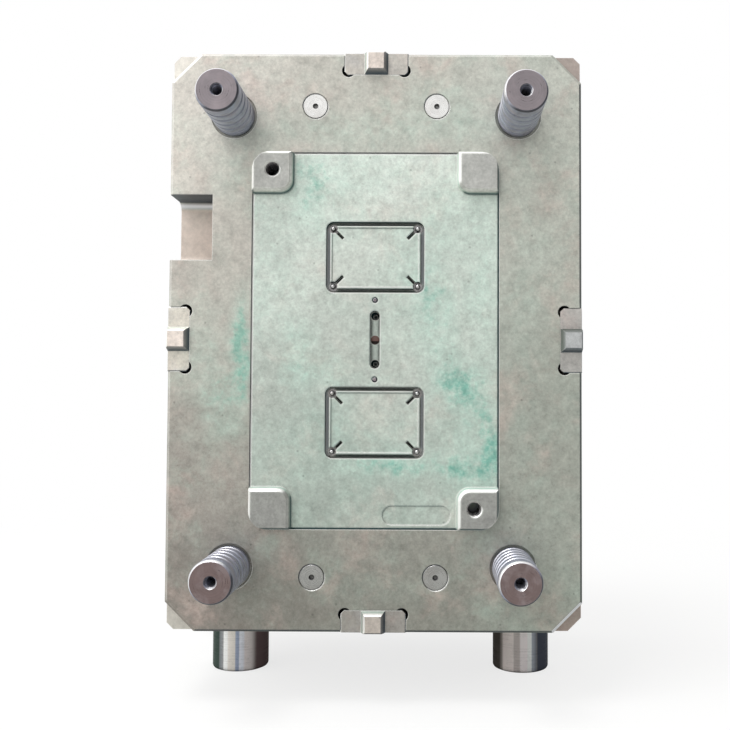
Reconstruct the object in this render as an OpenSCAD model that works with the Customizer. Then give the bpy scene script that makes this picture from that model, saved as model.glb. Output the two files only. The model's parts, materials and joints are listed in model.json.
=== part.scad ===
// Moving half of a two-cavity injection mould, standing on its feet with the parting face forward.
// The model is drawn in the mould's own axes: X right, Z up and Y to the rear, with the parting
// face at Y = 0 and the mould's centre line at X = Z = 0. It is then lifted to stand on Z = 0.

/* [Mould base] */
// Width of the core plate and of the spacer blocks' outer sides
plate_w = 250; // [240:1:270]
// Height of all plates
plate_h = 350; // [345:1:370]
// Thickness of the core plate
core_plate_t = 70; // [68:1:80]
// Thickness of each spacer block, seen from the front
spacer_w = 48; // [46:1:50]
// Depth of the spacer blocks from the core plate to the clamp plate
spacer_depth = 80; // [78:1:90]
// Width of the clamp plate, with its clamping edges
clamp_w = 300; // [290:1:320]
// Thickness of the clamp plate
clamp_t = 25; // [22:1:30]
// Chamfer along the edges of the plates
edge_chamfer = 1.5; // [0.5:0.25:2]
// Chamfer down three of the core plate's corners
corner_chamfer = 4; // [2:0.5:6]
// Larger chamfer down the fourth corner, which marks the datum
datum_chamfer = 8; // [6:0.5:10]

/* [Pry recesses and notch] */
// Leg of the triangular pry recess at each corner of the parting face
pry_leg = 20; // [14:1:22]
// Depth of the pry recesses
pry_depth = 6; // [4:0.5:8]
// Width of the bevel along the edge of the pry recesses
pry_bevel = 2; // [0.5:0.25:3]
// How far the side notch reaches in from the left side
notch_reach = 26; // [18:1:28]
// Height of the side notch
notch_h = 40; // [30:1:44]
// Centre of the side notch above the mould's centre
notch_z = 68; // [64:1:72]
// Depth of the side notch from the parting face
notch_depth = 26; // [16:1:30]
// Fillet along the floor of the side notch
notch_fillet = 6; // [3:0.5:8]

/* [Guide pins] */
// Diameter of the guide pins
guide_d = 25; // [22:0.5:26]
// How far the guide pins stand out of the parting face
guide_reach = 47; // [40:1:55]
// Half the distance between the guide pins across the mould
guide_x = 86.5; // [86:0.5:88]
// Half the distance between the guide pins along the mould
guide_z = 136.5; // [134:0.5:138]
// How far the lower right guide pin is set in, so that the halves only close one way round
guide_offset = 3; // [2:0.5:4]
// Diameter of the guide pin's head
guide_head_d = 30; // [28:0.5:31]
// Thickness of the guide pin's head
guide_head_t = 8; // [6:0.5:10]
// Depth of the oil grooves
groove_depth = 0.8; // [0.4:0.1:1.2]
// Width of the oil grooves
groove_w = 3; // [2:0.25:3.5]
// Distance from one oil groove to the next
groove_pitch = 8; // [6:0.5:9]
// Tapping drill of the extraction thread in the guide pin
guide_tap_d = 6.8; // [6:0.1:8]
// Depth of the extraction thread
guide_tap_depth = 20; // [14:1:30]

/* [Return pins and springs] */
// Diameter of the return pins
return_d = 15; // [12:0.5:16]
// Diameter of the return pins' heads
return_head_d = 20; // [19:0.5:22]
// Thickness of the return pins' heads
return_head_t = 8; // [6:0.5:9]
// Half the distance between the return pins across the mould
return_x = 37; // [35:0.5:39]
// Half the distance between the return pins along the mould
return_z = 142.5; // [140:0.5:145]
// Outer diameter of the return springs
spring_d = 28; // [26:0.5:30]
// Thickness of the return springs' wire
spring_wire = 4; // [3:0.25:5]
// Depth of the spring pockets in the core plate
spring_pocket = 38; // [30:1:42]
// Working turns of each return spring
spring_turns = 7; // [5:1:8]

/* [Core insert] */
// Width of the core insert
insert_w = 150; // [146:1:152]
// Height of the core insert
insert_h = 228; // [224:1:232]
// Depth of the core insert
insert_t = 40; // [36:1:42]
// Corner radius of the core insert
insert_r = 12; // [8:0.5:14]
// Chamfer round the face of the core insert
insert_chamfer = 1.2; // [0.6:0.1:1.6]
// Side of the square interlock heel in each corner of the insert
heel_side = 25; // [22:0.5:26]
// How far the heels' outer sides stand in from the insert's sides
heel_inset = 0.5; // [0.2:0.1:1]
// Height of the interlock heels above the parting face
heel_h = 6; // [4:0.5:8]
// Corner radius of the heels
heel_r = 8; // [6:0.5:10]
// Draft of the heels' inner sides, measured over their height
heel_taper = 1; // [0.5:0.25:2]
// Bevel round the top of the heels
heel_bevel = 1.4; // [0.6:0.1:1.8]
// Tapping drill of the extraction threads in two of the heels
heel_tap_d = 8.5; // [7:0.25:9]
// Depth of the extraction threads in the heels
heel_tap_depth = 24; // [18:1:28]

/* [Cavities] */
// Width of the moulded product
product_w = 59.5; // [56:0.5:62]
// Height of the moulded product
product_h = 43; // [40:0.5:46]
// Corner radius of the moulded product
product_r = 4.5; // [4:0.25:5]
// Distance from the mould's centre to each cavity's centre
cavity_z = 50; // [48:0.5:52]
// Thickness of the product's wall
wall_t = 2.5; // [2:0.25:3]
// Depth of the groove that forms the wall
wall_depth = 4.5; // [3:0.5:7]
// Drop of the core's face inside the wall
core_drop = 0.6; // [0.3:0.1:1]
// Half the distance between the corner bosses, across
boss_x = 25.7; // [25:0.1:26]
// Half the distance between the corner bosses, up and down
boss_z = 17.6; // [17:0.1:18]
// Length of the diagonal rib at each corner boss
rib_l = 6; // [4:0.25:7]
// Width of the diagonal ribs
rib_w = 1.9; // [1.2:0.1:2.4]
// Depth of the diagonal ribs
rib_depth = 4; // [2:0.5:5]
// Width of the bare label recess
label_w = 41; // [34:1:44]
// Height of the bare label recess
label_h = 11.5; // [9:0.5:13]
// Depth of the bare label recess
label_depth = 0.6; // [0.3:0.1:1]

/* [Runner] */
// Length of the runner slot between the cavities
runner_l = 35; // [30:1:38]
// Width of the runner slot
runner_w = 6; // [5:0.25:7]
// Depth of the runner slot
runner_depth = 4; // [3:0.5:6]
// Depth of the tapered wells at the runner's ends, where the tunnel gates start
well_depth = 10; // [7:0.5:12]
// Diameter of the sprue puller
puller_d = 5.5; // [4:0.25:5.75]
// Diameter of the small ejector pins beside the runner
gate_pin_d = 3.5; // [2.5:0.25:4]
// Distance of the small ejector pins from the mould's centre
gate_pin_z = 24; // [22:0.5:25]

/* [Side locks] */
// Width of the side locks
lock_w = 39; // [36:0.5:42]
// How far the side locks reach in from the mould's sides
lock_reach = 13; // [11:0.5:14]
// Depth of the side locks from the parting face
lock_depth = 22; // [20:0.5:26]
// Width of the tongue where it leaves the block
tongue_w = 14.5; // [13:0.25:16]
// Width of the tongue at its tip
tongue_tip_w = 11; // [10:0.25:12]
// Height of the tongue above the parting face
tongue_h = 4.5; // [3.5:0.5:7]
// Radius of the relief in the pocket's corners
relief_r = 4; // [3:0.25:5]
// How far the relief reaches past the sides of the lock
relief_reach = 1.5; // [1:0.1:2]

/* [Ejector plates] */
// Thickness of the ejector retainer plate
retainer_t = 15; // [13:0.5:16]
// Thickness of the ejector plate
ejector_t = 20; // [18:0.5:22]
// Height of the stop buttons
stop_h = 5; // [4:0.5:6]
// Diameter of the stop buttons
stop_d = 20; // [18:0.5:22]
// Outer diameter of the ejector sleeves
sleeve_d = 5.5; // [5:0.25:6]
// Diameter of the core pins inside the sleeves
core_pin_d = 3; // [2.5:0.25:3.5]
// Diameter of the ejector guide pins
ejector_guide_d = 16; // [14:0.5:18]
// Outer diameter of the ejector guide bushes
bush_d = 24; // [22:0.5:25]
// Diameter of the support pillars
pillar_d = 32; // [28:0.5:34]

/* [Cooling] */
// Diameter of the water channels
water_d = 8; // [6:0.5:9]
// Distance of the water channels from the mould's centre line
water_x = 60; // [59:0.5:61]
// Tapping drill of the threaded ports
port_d = 11.8; // [11:0.1:13]
// Depth of the threaded ports
port_depth = 14; // [12:0.5:18]

/* [Feet and screws] */
// Diameter of the round feet
foot_d = 38; // [34:0.5:39]
// Height of the round feet
foot_h = 45; // [35:1:60]
// Distance of the feet from the mould's centre line
foot_x = 97; // [96:0.5:98]
// Distance of the feet behind the parting face
foot_y = 90; // [89:0.5:92]
// Diameter of the long clamp screws
clamp_screw_d = 12; // [10:0.5:12]
// Diameter of the lifting threads' tapping drill
lift_d = 14; // [12:0.5:16]
// Depth of the lifting threads
lift_depth = 30; // [24:1:32]

/* [Fits] */
// Radial clearance of fixed fits
fit_gap = 0.02; // [0.01:0.01:0.05]
// Radial clearance of running fits
run_gap = 0.04; // [0.02:0.01:0.08]
// Clearance of holes that only let a moving pin through
free_gap = 0.5; // [0.3:0.1:0.8]
// Radial clearance of holes for screws and pillars
screw_gap = 0.5; // [0.3:0.1:0.8]

/* [Hidden] */
$fn = 64;

eps = 0.01;
over = 2;
steel = "#b9b6ad";
dark_steel = "#8d8f92";
pale_steel = "#c3cec6";
black_oxide = "#2f3032";
bronze = "#a97f45";
spring_blue = "#2f5f9e";

// Planes of the stack, from the parting face to the rear
spacer_y = core_plate_t;
clamp_y = spacer_y + spacer_depth;
rear_y = clamp_y + clamp_t;
ejector_y = clamp_y - stop_h - ejector_t;
retainer_y = ejector_y - retainer_t;

// The ejector plates run between the spacer blocks
spacer_inner_x = plate_w / 2 - spacer_w;
ejector_side_gap = 2;
ejector_w = 2 * (spacer_inner_x - ejector_side_gap);

// Places that repeat four times
corner_signs = [[-1, 1], [1, 1], [-1, -1], [1, -1]];
boss_places = [for (s = [-1, 1], c = corner_signs) [c[0] * boss_x, s * cavity_z + c[1] * boss_z]];
return_places = [for (c = corner_signs) [c[0] * return_x, c[1] * return_z]];

// Screw heads are as high as the screw's diameter and lie below the face that they seat in
head_ratio = 1.5;
head_sink = 1;
tip_gap = 2;

// Insert screws sit outside the cavities and inside the water channels
insert_screw_d = 10;
insert_screw_x = 38;
insert_screw_z = 92;
insert_thread = 18;

// Screws, guide pins and pillars of the ejector set, set in from the ejector plate's edges
ejector_screw_d = 8;
ejector_screw_in = 11;
ejector_screw_end = 14;
ejector_screw_x = ejector_w / 2 - ejector_screw_in;
ejector_screw_z = plate_h / 2 - ejector_screw_end;
ejector_guide_in = 18;
ejector_guide_x = ejector_w / 2 - ejector_guide_in;
ejector_guide_z = 108;
ejector_guide_seat = 12;
bush_shoulder = 3;
bush_flange_d = bush_d + 2 * bush_shoulder;
bush_flange_t = 5;
pillar_in = 25;
pillar_x = ejector_w / 2 - pillar_in;
pillar_z = 100;
pillar_places = [[0, pillar_z], [0, -pillar_z], [-pillar_x, 0], [pillar_x, 0]];
pillar_screw_d = 10;
pillar_thread = 22;
pillar_chamfer = 1;
stop_z = 70;
stop_end_in = 25;
stop_end_z = plate_h / 2 - stop_end_in;
stop_places = concat([for (c = corner_signs) [c[0] * pillar_x, c[1] * stop_z]],
    [[0, stop_end_z], [0, -stop_end_z]]);
stop_shank_d = 8;
stop_shank_l = 10;
stop_chamfer = 0.5;

// Heads of the ejector sleeves, core pins and small ejector pins
pin_shoulder = 1.5;
sleeve_head_d = sleeve_d + 2 * pin_shoulder;
core_head_d = core_pin_d + 2 * pin_shoulder;
gate_head_d = gate_pin_d + 2 * pin_shoulder;
puller_head_d = puller_d + 2 * pin_shoulder;
pin_head_t = 4;
land = 18;
plug_wall = 1.25;
plug_d = core_head_d + 2 * plug_wall;
plug_t = 8;
plug_sink = 1;

// The sleeves end at the floor of the bosses, and the core pins stand up to the face
boss_depth = 4;
core_pin_tip = 0.4;

// Clamp screws pass through the spacer blocks into the core plate
clamp_screw_x = plate_w / 2 - spacer_w / 2;
clamp_screw_z = 100;
clamp_thread = 24;
foot_screw_d = 10;
foot_thread = 20;
foot_recess = 14;
foot_chamfer = 1.5;

water_wall = 6;
water_y = insert_t + water_wall + water_d / 2;
plug_hex = 6;
plug_gap = 1;
lift_y = 46;
knockout_d = 35;
knockout_tap_d = 14;
knockout_tap_depth = 13;

ejector_guide_shoulder = 2;
ejector_guide_head_d = ejector_guide_d + 2 * ejector_guide_shoulder;

// Extraction threads near the middle of two heels, as the photograph shows them
heel_mid_x = insert_w / 2 - heel_inset - heel_side / 2;
heel_mid_z = insert_h / 2 - heel_inset - heel_side / 2;
heel_tap_up = 1.5;
heel_tap_in = 2;
heel_tap_places = [[-heel_mid_x, heel_mid_z + heel_tap_up], [heel_mid_x - heel_tap_in, -heel_mid_z]];

// Screws of the side locks
lock_screw_d = 6;
lock_screw_in = 7;
lock_screw_up = 9;
lock_screw_x = lock_w / 2 - lock_screw_in;
lock_screw_y = lock_depth - lock_screw_up;
lock_thread = 14;

// Middle of the label recess, under the lower cavity
label_x = 25.5;
label_z = -105.5;

// Winding of the return springs: closed end turns and open turns between them
spring_steps = 20;
spring_end_turns = 1.5;
spring_flat = 3;
seat_gap = 0.1;
spring_length = retainer_y - core_plate_t + spring_pocket - 2 * seat_gap;
spring_pitch = (spring_length - spring_flat - spring_wire * spring_end_turns) / spring_turns;

base_z = plate_h / 2 + foot_h;
centre_y = (rear_y - guide_reach) / 2;

// Moves the children from the mould's axes to the standing part's frame
module stand() {
    translate([0, -centre_y, base_z]) children();
}

// A cylinder along Y from depth y0 to depth y1
module rod(y0, y1, d) {
    translate([0, y0, 0]) rotate([-90, 0, 0]) cylinder(h = y1 - y0, d = d);
}

// A cone along Y from depth y0 to depth y1
module taper_rod(y0, y1, d0, d1) {
    translate([0, y0, 0]) rotate([-90, 0, 0]) cylinder(h = y1 - y0, d1 = d0, d2 = d1);
}

// Puts the children at a place on the parting face
module at(place) {
    translate([place[0], 0, place[1]]) children();
}

// Extrudes an outline drawn in X and Z from depth y0 to depth y1
module slab(y0, y1) {
    translate([0, y1, 0]) rotate([90, 0, 0]) linear_extrude(height = y1 - y0) children();
}

// A rectangle with round corners
module round_rect(w, h, r) {
    square([w, h - 2 * r], center = true);
    square([w - 2 * r, h], center = true);
    for (c = corner_signs) translate([c[0] * (w / 2 - r), c[1] * (h / 2 - r)]) circle(r = r);
}

// A plate with all its edges chamfered by c, from depth y0 to depth y1
module plate(w, h, y0, y1, c = edge_chamfer) {
    t = y1 - y0;
    intersection() {
        translate([-w / 2, y0, -h / 2]) cube([w, t, h]);
        translate([0, 0, -h / 2]) linear_extrude(height = h) chamfered_side(w, y0, y1, c);
        translate([-w / 2, 0, 0]) rotate([90, 0, 90])
            linear_extrude(height = w) side_rect(h, y0, y1, c);
    }
}

// The plate's section across its width, chamfered front and rear
module chamfered_side(w, y0, y1, c) {
    polygon([[-w / 2 + c, y0], [w / 2 - c, y0], [w / 2, y0 + c], [w / 2, y1 - c],
        [w / 2 - c, y1], [-w / 2 + c, y1], [-w / 2, y1 - c], [-w / 2, y0 + c]]);
}

// The plate's section up its height, chamfered front and rear
module side_rect(h, y0, y1, c) {
    polygon([[y0, -h / 2 + c], [y0 + c, -h / 2], [y1 - c, -h / 2], [y1, -h / 2 + c],
        [y1, h / 2 - c], [y1 - c, h / 2], [y0 + c, h / 2], [y0, h / 2 - c]]);
}

// Socket head screw along Y: its shank ends at y_tip and its head's top lies at y_head
module socket_screw(d, y_tip, y_head) {
    head_d = head_ratio * d;
    bevel = d / 10;
    difference() {
        union() {
            taper_rod(y_tip, y_tip + bevel, d - 2 * bevel, d);
            rod(y_tip + bevel, y_head - d, d);
            rod(y_head - d, y_head - bevel, head_d);
            taper_rod(y_head - bevel, y_head, head_d, head_d - 2 * bevel);
        }
        translate([0, y_head + eps, 0]) rotate([90, 0, 0])
            cylinder(h = d / 2, d = d, $fn = 6);
    }
}

// Hole for a socket head screw whose head sinks below the face at y_face
module screw_hole(d, y_tip, y_face) {
    rod(y_tip, y_face + eps, d + 2 * screw_gap);
    rod(y_face - d - head_sink, y_face + eps, head_ratio * d + 2 * screw_gap);
}

// Headed pin along Y with its head at the rear
module headed_pin(d, y_tip, y_head, head_d, head_t) {
    rod(y_tip, y_head - head_t, d);
    rod(y_head - head_t, y_head, head_d);
}

/* Core plate */

// Triangle cut at one corner of the parting face, with a bevel along its edge
module pry_recess(sx, sz) {
    leg = pry_leg - sqrt(2) * pry_bevel;
    slab(-eps, pry_depth) polygon([
        [sx * (plate_w / 2 - leg), sz * (plate_h / 2 + over)],
        [sx * (plate_w / 2 - leg), sz * plate_h / 2],
        [sx * plate_w / 2, sz * (plate_h / 2 - leg)],
        [sx * (plate_w / 2 + over), sz * (plate_h / 2 - leg)],
        [sx * (plate_w / 2 + over), sz * (plate_h / 2 + over)]]);
    translate([sx * (plate_w - pry_leg) / 2, 0, sz * (plate_h - pry_leg) / 2])
        rotate([0, atan2(-sz, sx), 0]) translate([0, 0, -pry_leg])
            linear_extrude(height = 2 * pry_leg) polygon([[-eps, -eps], [pry_bevel, pry_bevel],
                [pry_bevel + over, pry_bevel], [pry_bevel + over, -eps]]);
}

// Pocket that opens to the left side and the parting face, with a filleted floor
module side_notch() {
    r = notch_fillet;
    translate([-plate_w / 2 - over, 0, notch_z]) rotate([90, 0, 90])
        linear_extrude(height = notch_reach + over) {
            translate([-eps, -notch_h / 2]) square([notch_depth - r, notch_h]);
            translate([-eps, -notch_h / 2 + r]) square([notch_depth, notch_h - 2 * r]);
            for (s = [-1, 1]) translate([notch_depth - r - eps, s * (notch_h / 2 - r)]) circle(r = r);
        }
}

// Pocket of a side lock at the top of the plate, with drilled reliefs in its corners
module lock_pocket() {
    inset = relief_r - relief_reach;
    translate([-lock_w / 2 - fit_gap, -eps, -lock_reach - fit_gap])
        cube([lock_w + 2 * fit_gap, lock_depth + fit_gap + eps, lock_reach + over]);
    for (s = [-1, 1])
        translate([s * (lock_w / 2 - inset), -eps, inset - lock_reach]) rotate([-90, 0, 0])
            cylinder(h = lock_depth + fit_gap + eps, r = relief_r);
    for (s = [-1, 1])
        translate([s * lock_screw_x, lock_screw_y, -lock_reach - lock_thread])
            cylinder(h = lock_thread + over, d = lock_screw_d);
}

// Places the children, made for the top edge, on each of the four sides
module on_side(side) {
    half = (side == "left" || side == "right") ? plate_w / 2 : plate_h / 2;
    turn = side == "top" ? 0 : side == "right" ? 90 : side == "bottom" ? 180 : -90;
    rotate([0, turn, 0]) translate([0, 0, half]) children();
}

module pocket_for_insert() {
    slab(-eps, insert_t)
        round_rect(insert_w + 2 * fit_gap, insert_h + 2 * fit_gap, insert_r);
}

// Guide pin hole with a shallow clearance ring at the face and a seat for the head
module guide_hole() {
    rod(-eps, core_plate_t + eps, guide_d + 2 * fit_gap);
    rod(-eps, edge_chamfer, guide_d + 2 * edge_chamfer);
    rod(core_plate_t - guide_head_t, core_plate_t + eps, guide_head_d + 2 * screw_gap);
}

// Return pin hole: a short bearing land, a free length and the spring's pocket
module return_hole() {
    mouth = 0.6;
    rod(-eps, core_plate_t + eps, return_d + 2 * run_gap);
    taper_rod(-eps, mouth, return_d + 2 * mouth, return_d);
    rod(core_plate_t - spring_pocket, core_plate_t + eps, spring_d + 2 * free_gap);
}

// Water channel from the bottom of the plate to its top, tapped at both ends
module water_channel(x) {
    translate([x, water_y, -plate_h / 2 - eps]) cylinder(h = plate_h + 2 * eps, d = water_d);
    for (s = [0, 1]) mirror([0, 0, s]) translate([x, water_y, plate_h / 2 - port_depth])
        cylinder(h = port_depth + eps, d = port_d);
}

// Lifting threads in the middle of the top and the bottom
module lifting_threads() {
    for (s = [0, 1]) mirror([0, 0, s]) translate([0, lift_y, plate_h / 2 - lift_depth])
        cylinder(h = lift_depth + eps, d = lift_d);
}

function guide_place(c) = [c[0] * (guide_x - (c[0] > 0 && c[1] < 0 ? guide_offset : 0)), c[1] * guide_z];

// Long chamfer down one corner of the core plate
module corner_cut(sx, sz, c) {
    slab(-eps, core_plate_t + eps) polygon([
        [sx * (plate_w / 2 - c - over), sz * (plate_h / 2 + over)],
        [sx * (plate_w / 2 + over), sz * (plate_h / 2 - c - over)],
        [sx * (plate_w / 2 + over), sz * (plate_h / 2 + over)]]);
}

module core_plate() {
    color(steel) stand() difference() {
        plate(plate_w, plate_h, 0, core_plate_t);
        for (c = corner_signs) {
            corner_cut(c[0], c[1], c[0] > 0 && c[1] < 0 ? datum_chamfer : corner_chamfer);
            pry_recess(c[0], c[1]);
            at(guide_place(c)) guide_hole();
            at([c[0] * insert_screw_x, c[1] * insert_screw_z])
                screw_hole(insert_screw_d, insert_t - eps, core_plate_t);
            at([c[0] * clamp_screw_x, c[1] * clamp_screw_z])
                rod(core_plate_t - clamp_thread, core_plate_t + eps, clamp_screw_d + 2 * fit_gap);
            at([c[0] * ejector_guide_x, c[1] * ejector_guide_z])
                rod(core_plate_t - ejector_guide_seat, core_plate_t + eps,
                    ejector_guide_d + 2 * fit_gap);
        }
        for (p = return_places) at(p) return_hole();
        for (side = ["top", "left", "right", "bottom"]) on_side(side) lock_pocket();
        side_notch();
        pocket_for_insert();
        for (p = boss_places) at(p) rod(insert_t - eps, core_plate_t + eps, sleeve_d + 2 * free_gap);
        for (s = [-1, 1]) {
            at([0, s * gate_pin_z]) rod(insert_t - eps, core_plate_t + eps, gate_pin_d + 2 * free_gap);
            water_channel(s * water_x);
        }
        rod(insert_t - eps, core_plate_t + eps, puller_d + 2 * free_gap);
        lifting_threads();
    }
}

/* Core insert */

// Profile of a heel over its width, from its base at b0 on the outside to b1 inside
module heel_profile(b0, b1, s) {
    polygon([[b0, eps], [b0, heel_bevel - heel_h], [b0 + s * heel_bevel, -heel_h],
        [b1 - s * (heel_taper + heel_bevel), -heel_h], [b1 - s * heel_taper, heel_bevel - heel_h],
        [b1, 0], [b1, eps]]);
}

// Square heel with a round inner corner, drafted on its two inner sides
module heel(sx, sz) {
    x0 = heel_inset - insert_w / 2;
    z0 = insert_h / 2 - heel_inset;
    round_x = x0 + heel_side - heel_r;
    round_z = z0 - heel_side + heel_r;
    mirror([sx > 0 ? 1 : 0, 0, 0]) mirror([0, 0, sz < 0 ? 1 : 0]) difference() {
        intersection() {
            translate([0, 0, z0 - heel_side]) linear_extrude(height = heel_side)
                heel_profile(x0, x0 + heel_side, 1);
            translate([x0, 0, 0]) rotate([90, 0, 90]) linear_extrude(height = heel_side)
                mirror([1, -1, 0]) heel_profile(z0, z0 - heel_side, -1);
            slab(-heel_h, eps) round_rect(-2 * x0, 2 * z0, insert_r - heel_inset);
        }
        difference() {
            translate([round_x, -heel_h - eps, round_z - heel_r - eps])
                cube([heel_r + eps, heel_h + 3 * eps, heel_r + eps]);
            at([round_x, round_z]) {
                taper_rod(heel_bevel - heel_h, 3 * eps, 2 * (heel_r - heel_taper), 2 * heel_r);
                taper_rod(-heel_h - 2 * eps, heel_bevel - heel_h + eps,
                    2 * (heel_r - heel_taper - heel_bevel), 2 * (heel_r - heel_taper));
            }
        }
    }
}

// Groove that forms the product's wall, and the lowered face inside it
module product_groove() {
    inner_w = product_w - 2 * wall_t;
    inner_h = product_h - 2 * wall_t;
    ledge = 1;
    inner_r = product_r - wall_t;
    slab(-eps, wall_depth) difference() {
        round_rect(product_w, product_h, product_r);
        round_rect(inner_w, inner_h, inner_r);
    }
    slab(-eps, core_drop) round_rect(inner_w - 2 * ledge, inner_h - 2 * ledge, inner_r);
}

// Slot for the diagonal rib beside one corner boss
module rib_slot(c) {
    slab(-eps, rib_depth) translate([c[0] * boss_x, c[1] * boss_z])
        rotate(atan2(-c[1], -c[0])) translate([0, -rib_w / 2]) square([sleeve_d / 2 + rib_l, rib_w]);
}

// Hole for a pin that slides: a close land at the face and a free length behind it
module sliding_hole(d) {
    rod(-eps, land, d + 2 * run_gap);
    rod(land - eps, insert_t + eps, d + 2 * free_gap);
}

// Runner slot with round ends, and a tapered well in each end
module runner_slot() {
    end_z = (runner_l - runner_w) / 2;
    wall = 0.5;
    slab(-eps, runner_depth) {
        square([runner_w, 2 * end_z], center = true);
        for (s = [-1, 1]) translate([0, s * end_z]) circle(d = runner_w);
    }
    for (s = [-1, 1]) at([0, s * end_z])
        taper_rod(runner_depth - eps, well_depth, runner_w - 2 * wall, runner_w / 2);
}

module label_recess() {
    slab(-eps, label_depth) translate([label_x, label_z]) {
        square([label_w - label_h, label_h], center = true);
        for (s = [-1, 1]) translate([s * (label_w - label_h) / 2, 0]) circle(d = label_h);
    }
}

module core_insert() {
    color(pale_steel) stand() difference() {
        union() {
            intersection() {
                plate(insert_w, insert_h, 0, insert_t, insert_chamfer);
                slab(-eps, insert_t + eps) round_rect(insert_w, insert_h, insert_r);
            }
            for (c = corner_signs) heel(c[0], c[1]);
        }
        for (s = [-1, 1]) {
            at([0, s * cavity_z]) {
                product_groove();
                for (c = corner_signs) rib_slot(c);
            }
            at([0, s * gate_pin_z]) sliding_hole(gate_pin_d);
        }
        for (p = heel_tap_places) at(p) heel_thread();
        for (p = boss_places) at(p) sliding_hole(sleeve_d);
        for (c = corner_signs) at([c[0] * insert_screw_x, c[1] * insert_screw_z])
            rod(insert_t - insert_thread, insert_t + eps, insert_screw_d + 2 * fit_gap);
        sliding_hole(puller_d);
        runner_slot();
        label_recess();
    }
}

// Extraction thread in a heel, countersunk at its mouth
module heel_thread() {
    mouth = 0.75;
    rod(-heel_h - eps, heel_tap_depth - heel_h, heel_tap_d);
    taper_rod(-heel_h - eps, mouth - heel_h, heel_tap_d + 2 * mouth, heel_tap_d);
}

module insert_screws() {
    color(black_oxide) stand() for (c = corner_signs)
        at([c[0] * insert_screw_x, c[1] * insert_screw_z])
            socket_screw(insert_screw_d, insert_t - insert_thread + tip_gap, core_plate_t - head_sink);
}

/* Guide pins */

// Guide pin with oil grooves, a chamfered tip and an extraction thread in its end
module guide_pin(c) {
    tip = 2;
    mouth = 0.8;
    first_groove = groove_pitch + tip;
    color(dark_steel) stand() at(guide_place(c)) difference() {
        union() {
            taper_rod(-guide_reach, tip - guide_reach, guide_d - 2 * tip, guide_d);
            rod(tip - guide_reach, core_plate_t - guide_head_t, guide_d);
            rod(core_plate_t - guide_head_t, core_plate_t, guide_head_d);
        }
        for (y = [first_groove:groove_pitch:guide_reach - groove_w]) guide_groove(y - guide_reach);
        rod(-guide_reach - eps, guide_tap_depth - guide_reach, guide_tap_d);
        taper_rod(-guide_reach - eps, mouth - guide_reach, guide_tap_d + 2 * mouth, guide_tap_d);
    }
}

// Oil groove round the pin, centred at depth y, with sloping sides
module guide_groove(y) {
    r = guide_d / 2;
    half = groove_w / 2;
    translate([0, y, 0]) rotate([-90, 0, 0]) rotate_extrude()
        polygon([[r + groove_depth, -half - groove_depth], [r - groove_depth, -half + groove_depth],
            [r - groove_depth, half - groove_depth], [r + groove_depth, half + groove_depth]]);
}

module guide_pin_top_left() { guide_pin([-1, 1]); }
module guide_pin_top_right() { guide_pin([1, 1]); }
module guide_pin_bottom_left() { guide_pin([-1, -1]); }
module guide_pin_bottom_right() { guide_pin([1, -1]); }

/* Side locks */

// Tapered tongue: its outer side is flush with the mould's side, the other three are drafted
module tongue() {
    draft = (tongue_w - tongue_tip_w) / 2;
    bevel = 0.8;
    b = tongue_w / 2;
    t = tongue_tip_w / 2;
    intersection() {
        translate([0, 0, -lock_reach]) linear_extrude(height = lock_reach)
            polygon([[-b, eps], [-t, bevel - tongue_h], [bevel - t, -tongue_h],
                [t - bevel, -tongue_h], [t, bevel - tongue_h], [b, eps]]);
        translate([-b, 0, 0]) rotate([90, 0, 90]) linear_extrude(height = tongue_w)
            polygon([[eps, -lock_reach], [bevel - tongue_h, draft - lock_reach],
                [-tongue_h, draft + bevel - lock_reach], [-tongue_h, -bevel],
                [bevel - tongue_h, 0], [eps, 0]]);
    }
}

// Hardened block with its tongue, made for the top side
module side_lock(side) {
    corner = 1.5;
    lead = 0.5;
    half = lock_w / 2;
    color(steel) stand() on_side(side) difference() {
        union() {
            linear_extrude_down(lock_reach) polygon([[-half, lead], [lead - half, 0], [half - lead, 0],
                [half, lead], [half, lock_depth - corner], [half - corner, lock_depth],
                [corner - half, lock_depth], [-half, lock_depth - corner]]);
            tongue();
        }
        for (s = [-1, 1]) {
            translate([s * half, -eps, -lock_reach]) rotate([-90, 0, 0]) rotate(45)
                translate([-corner, -corner]) cube([2 * corner, 2 * corner, lock_depth + 2 * eps]);
            translate([s * lock_screw_x, lock_screw_y, 0]) rotate([90, 0, 0])
                screw_hole(lock_screw_d, -lock_reach - eps, 0);
        }
    }
}

// Extrudes an outline in X and Y downwards from Z = 0
module linear_extrude_down(h) {
    translate([0, 0, -h]) linear_extrude(height = h) children();
}

module side_lock_top() { side_lock("top"); }
module side_lock_left() { side_lock("left"); }
module side_lock_right() { side_lock("right"); }
module side_lock_bottom() { side_lock("bottom"); }

module side_lock_screws() {
    color(black_oxide) stand() for (side = ["top", "left", "right", "bottom"], s = [-1, 1])
        on_side(side) translate([s * lock_screw_x, lock_screw_y, 0]) rotate([90, 0, 0])
            socket_screw(lock_screw_d, tip_gap - lock_reach - lock_thread, -head_sink);
}

/* Spacer blocks and clamp plate */

// Spacer block on one side, with the foot's thread in its lower end
module spacer(s) {
    color(steel) stand() difference() {
        translate([s * clamp_screw_x, 0, 0]) plate(spacer_w, plate_h, spacer_y, clamp_y, edge_chamfer);
        for (t = [-1, 1]) at([s * clamp_screw_x, t * clamp_screw_z])
            rod(spacer_y - eps, clamp_y + eps, clamp_screw_d + 2 * screw_gap);
        translate([s * foot_x, foot_y, -plate_h / 2 - eps])
            cylinder(h = foot_thread, d = foot_screw_d + 2 * fit_gap);
    }
}

module spacer_left() { spacer(-1); }
module spacer_right() { spacer(1); }

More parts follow.
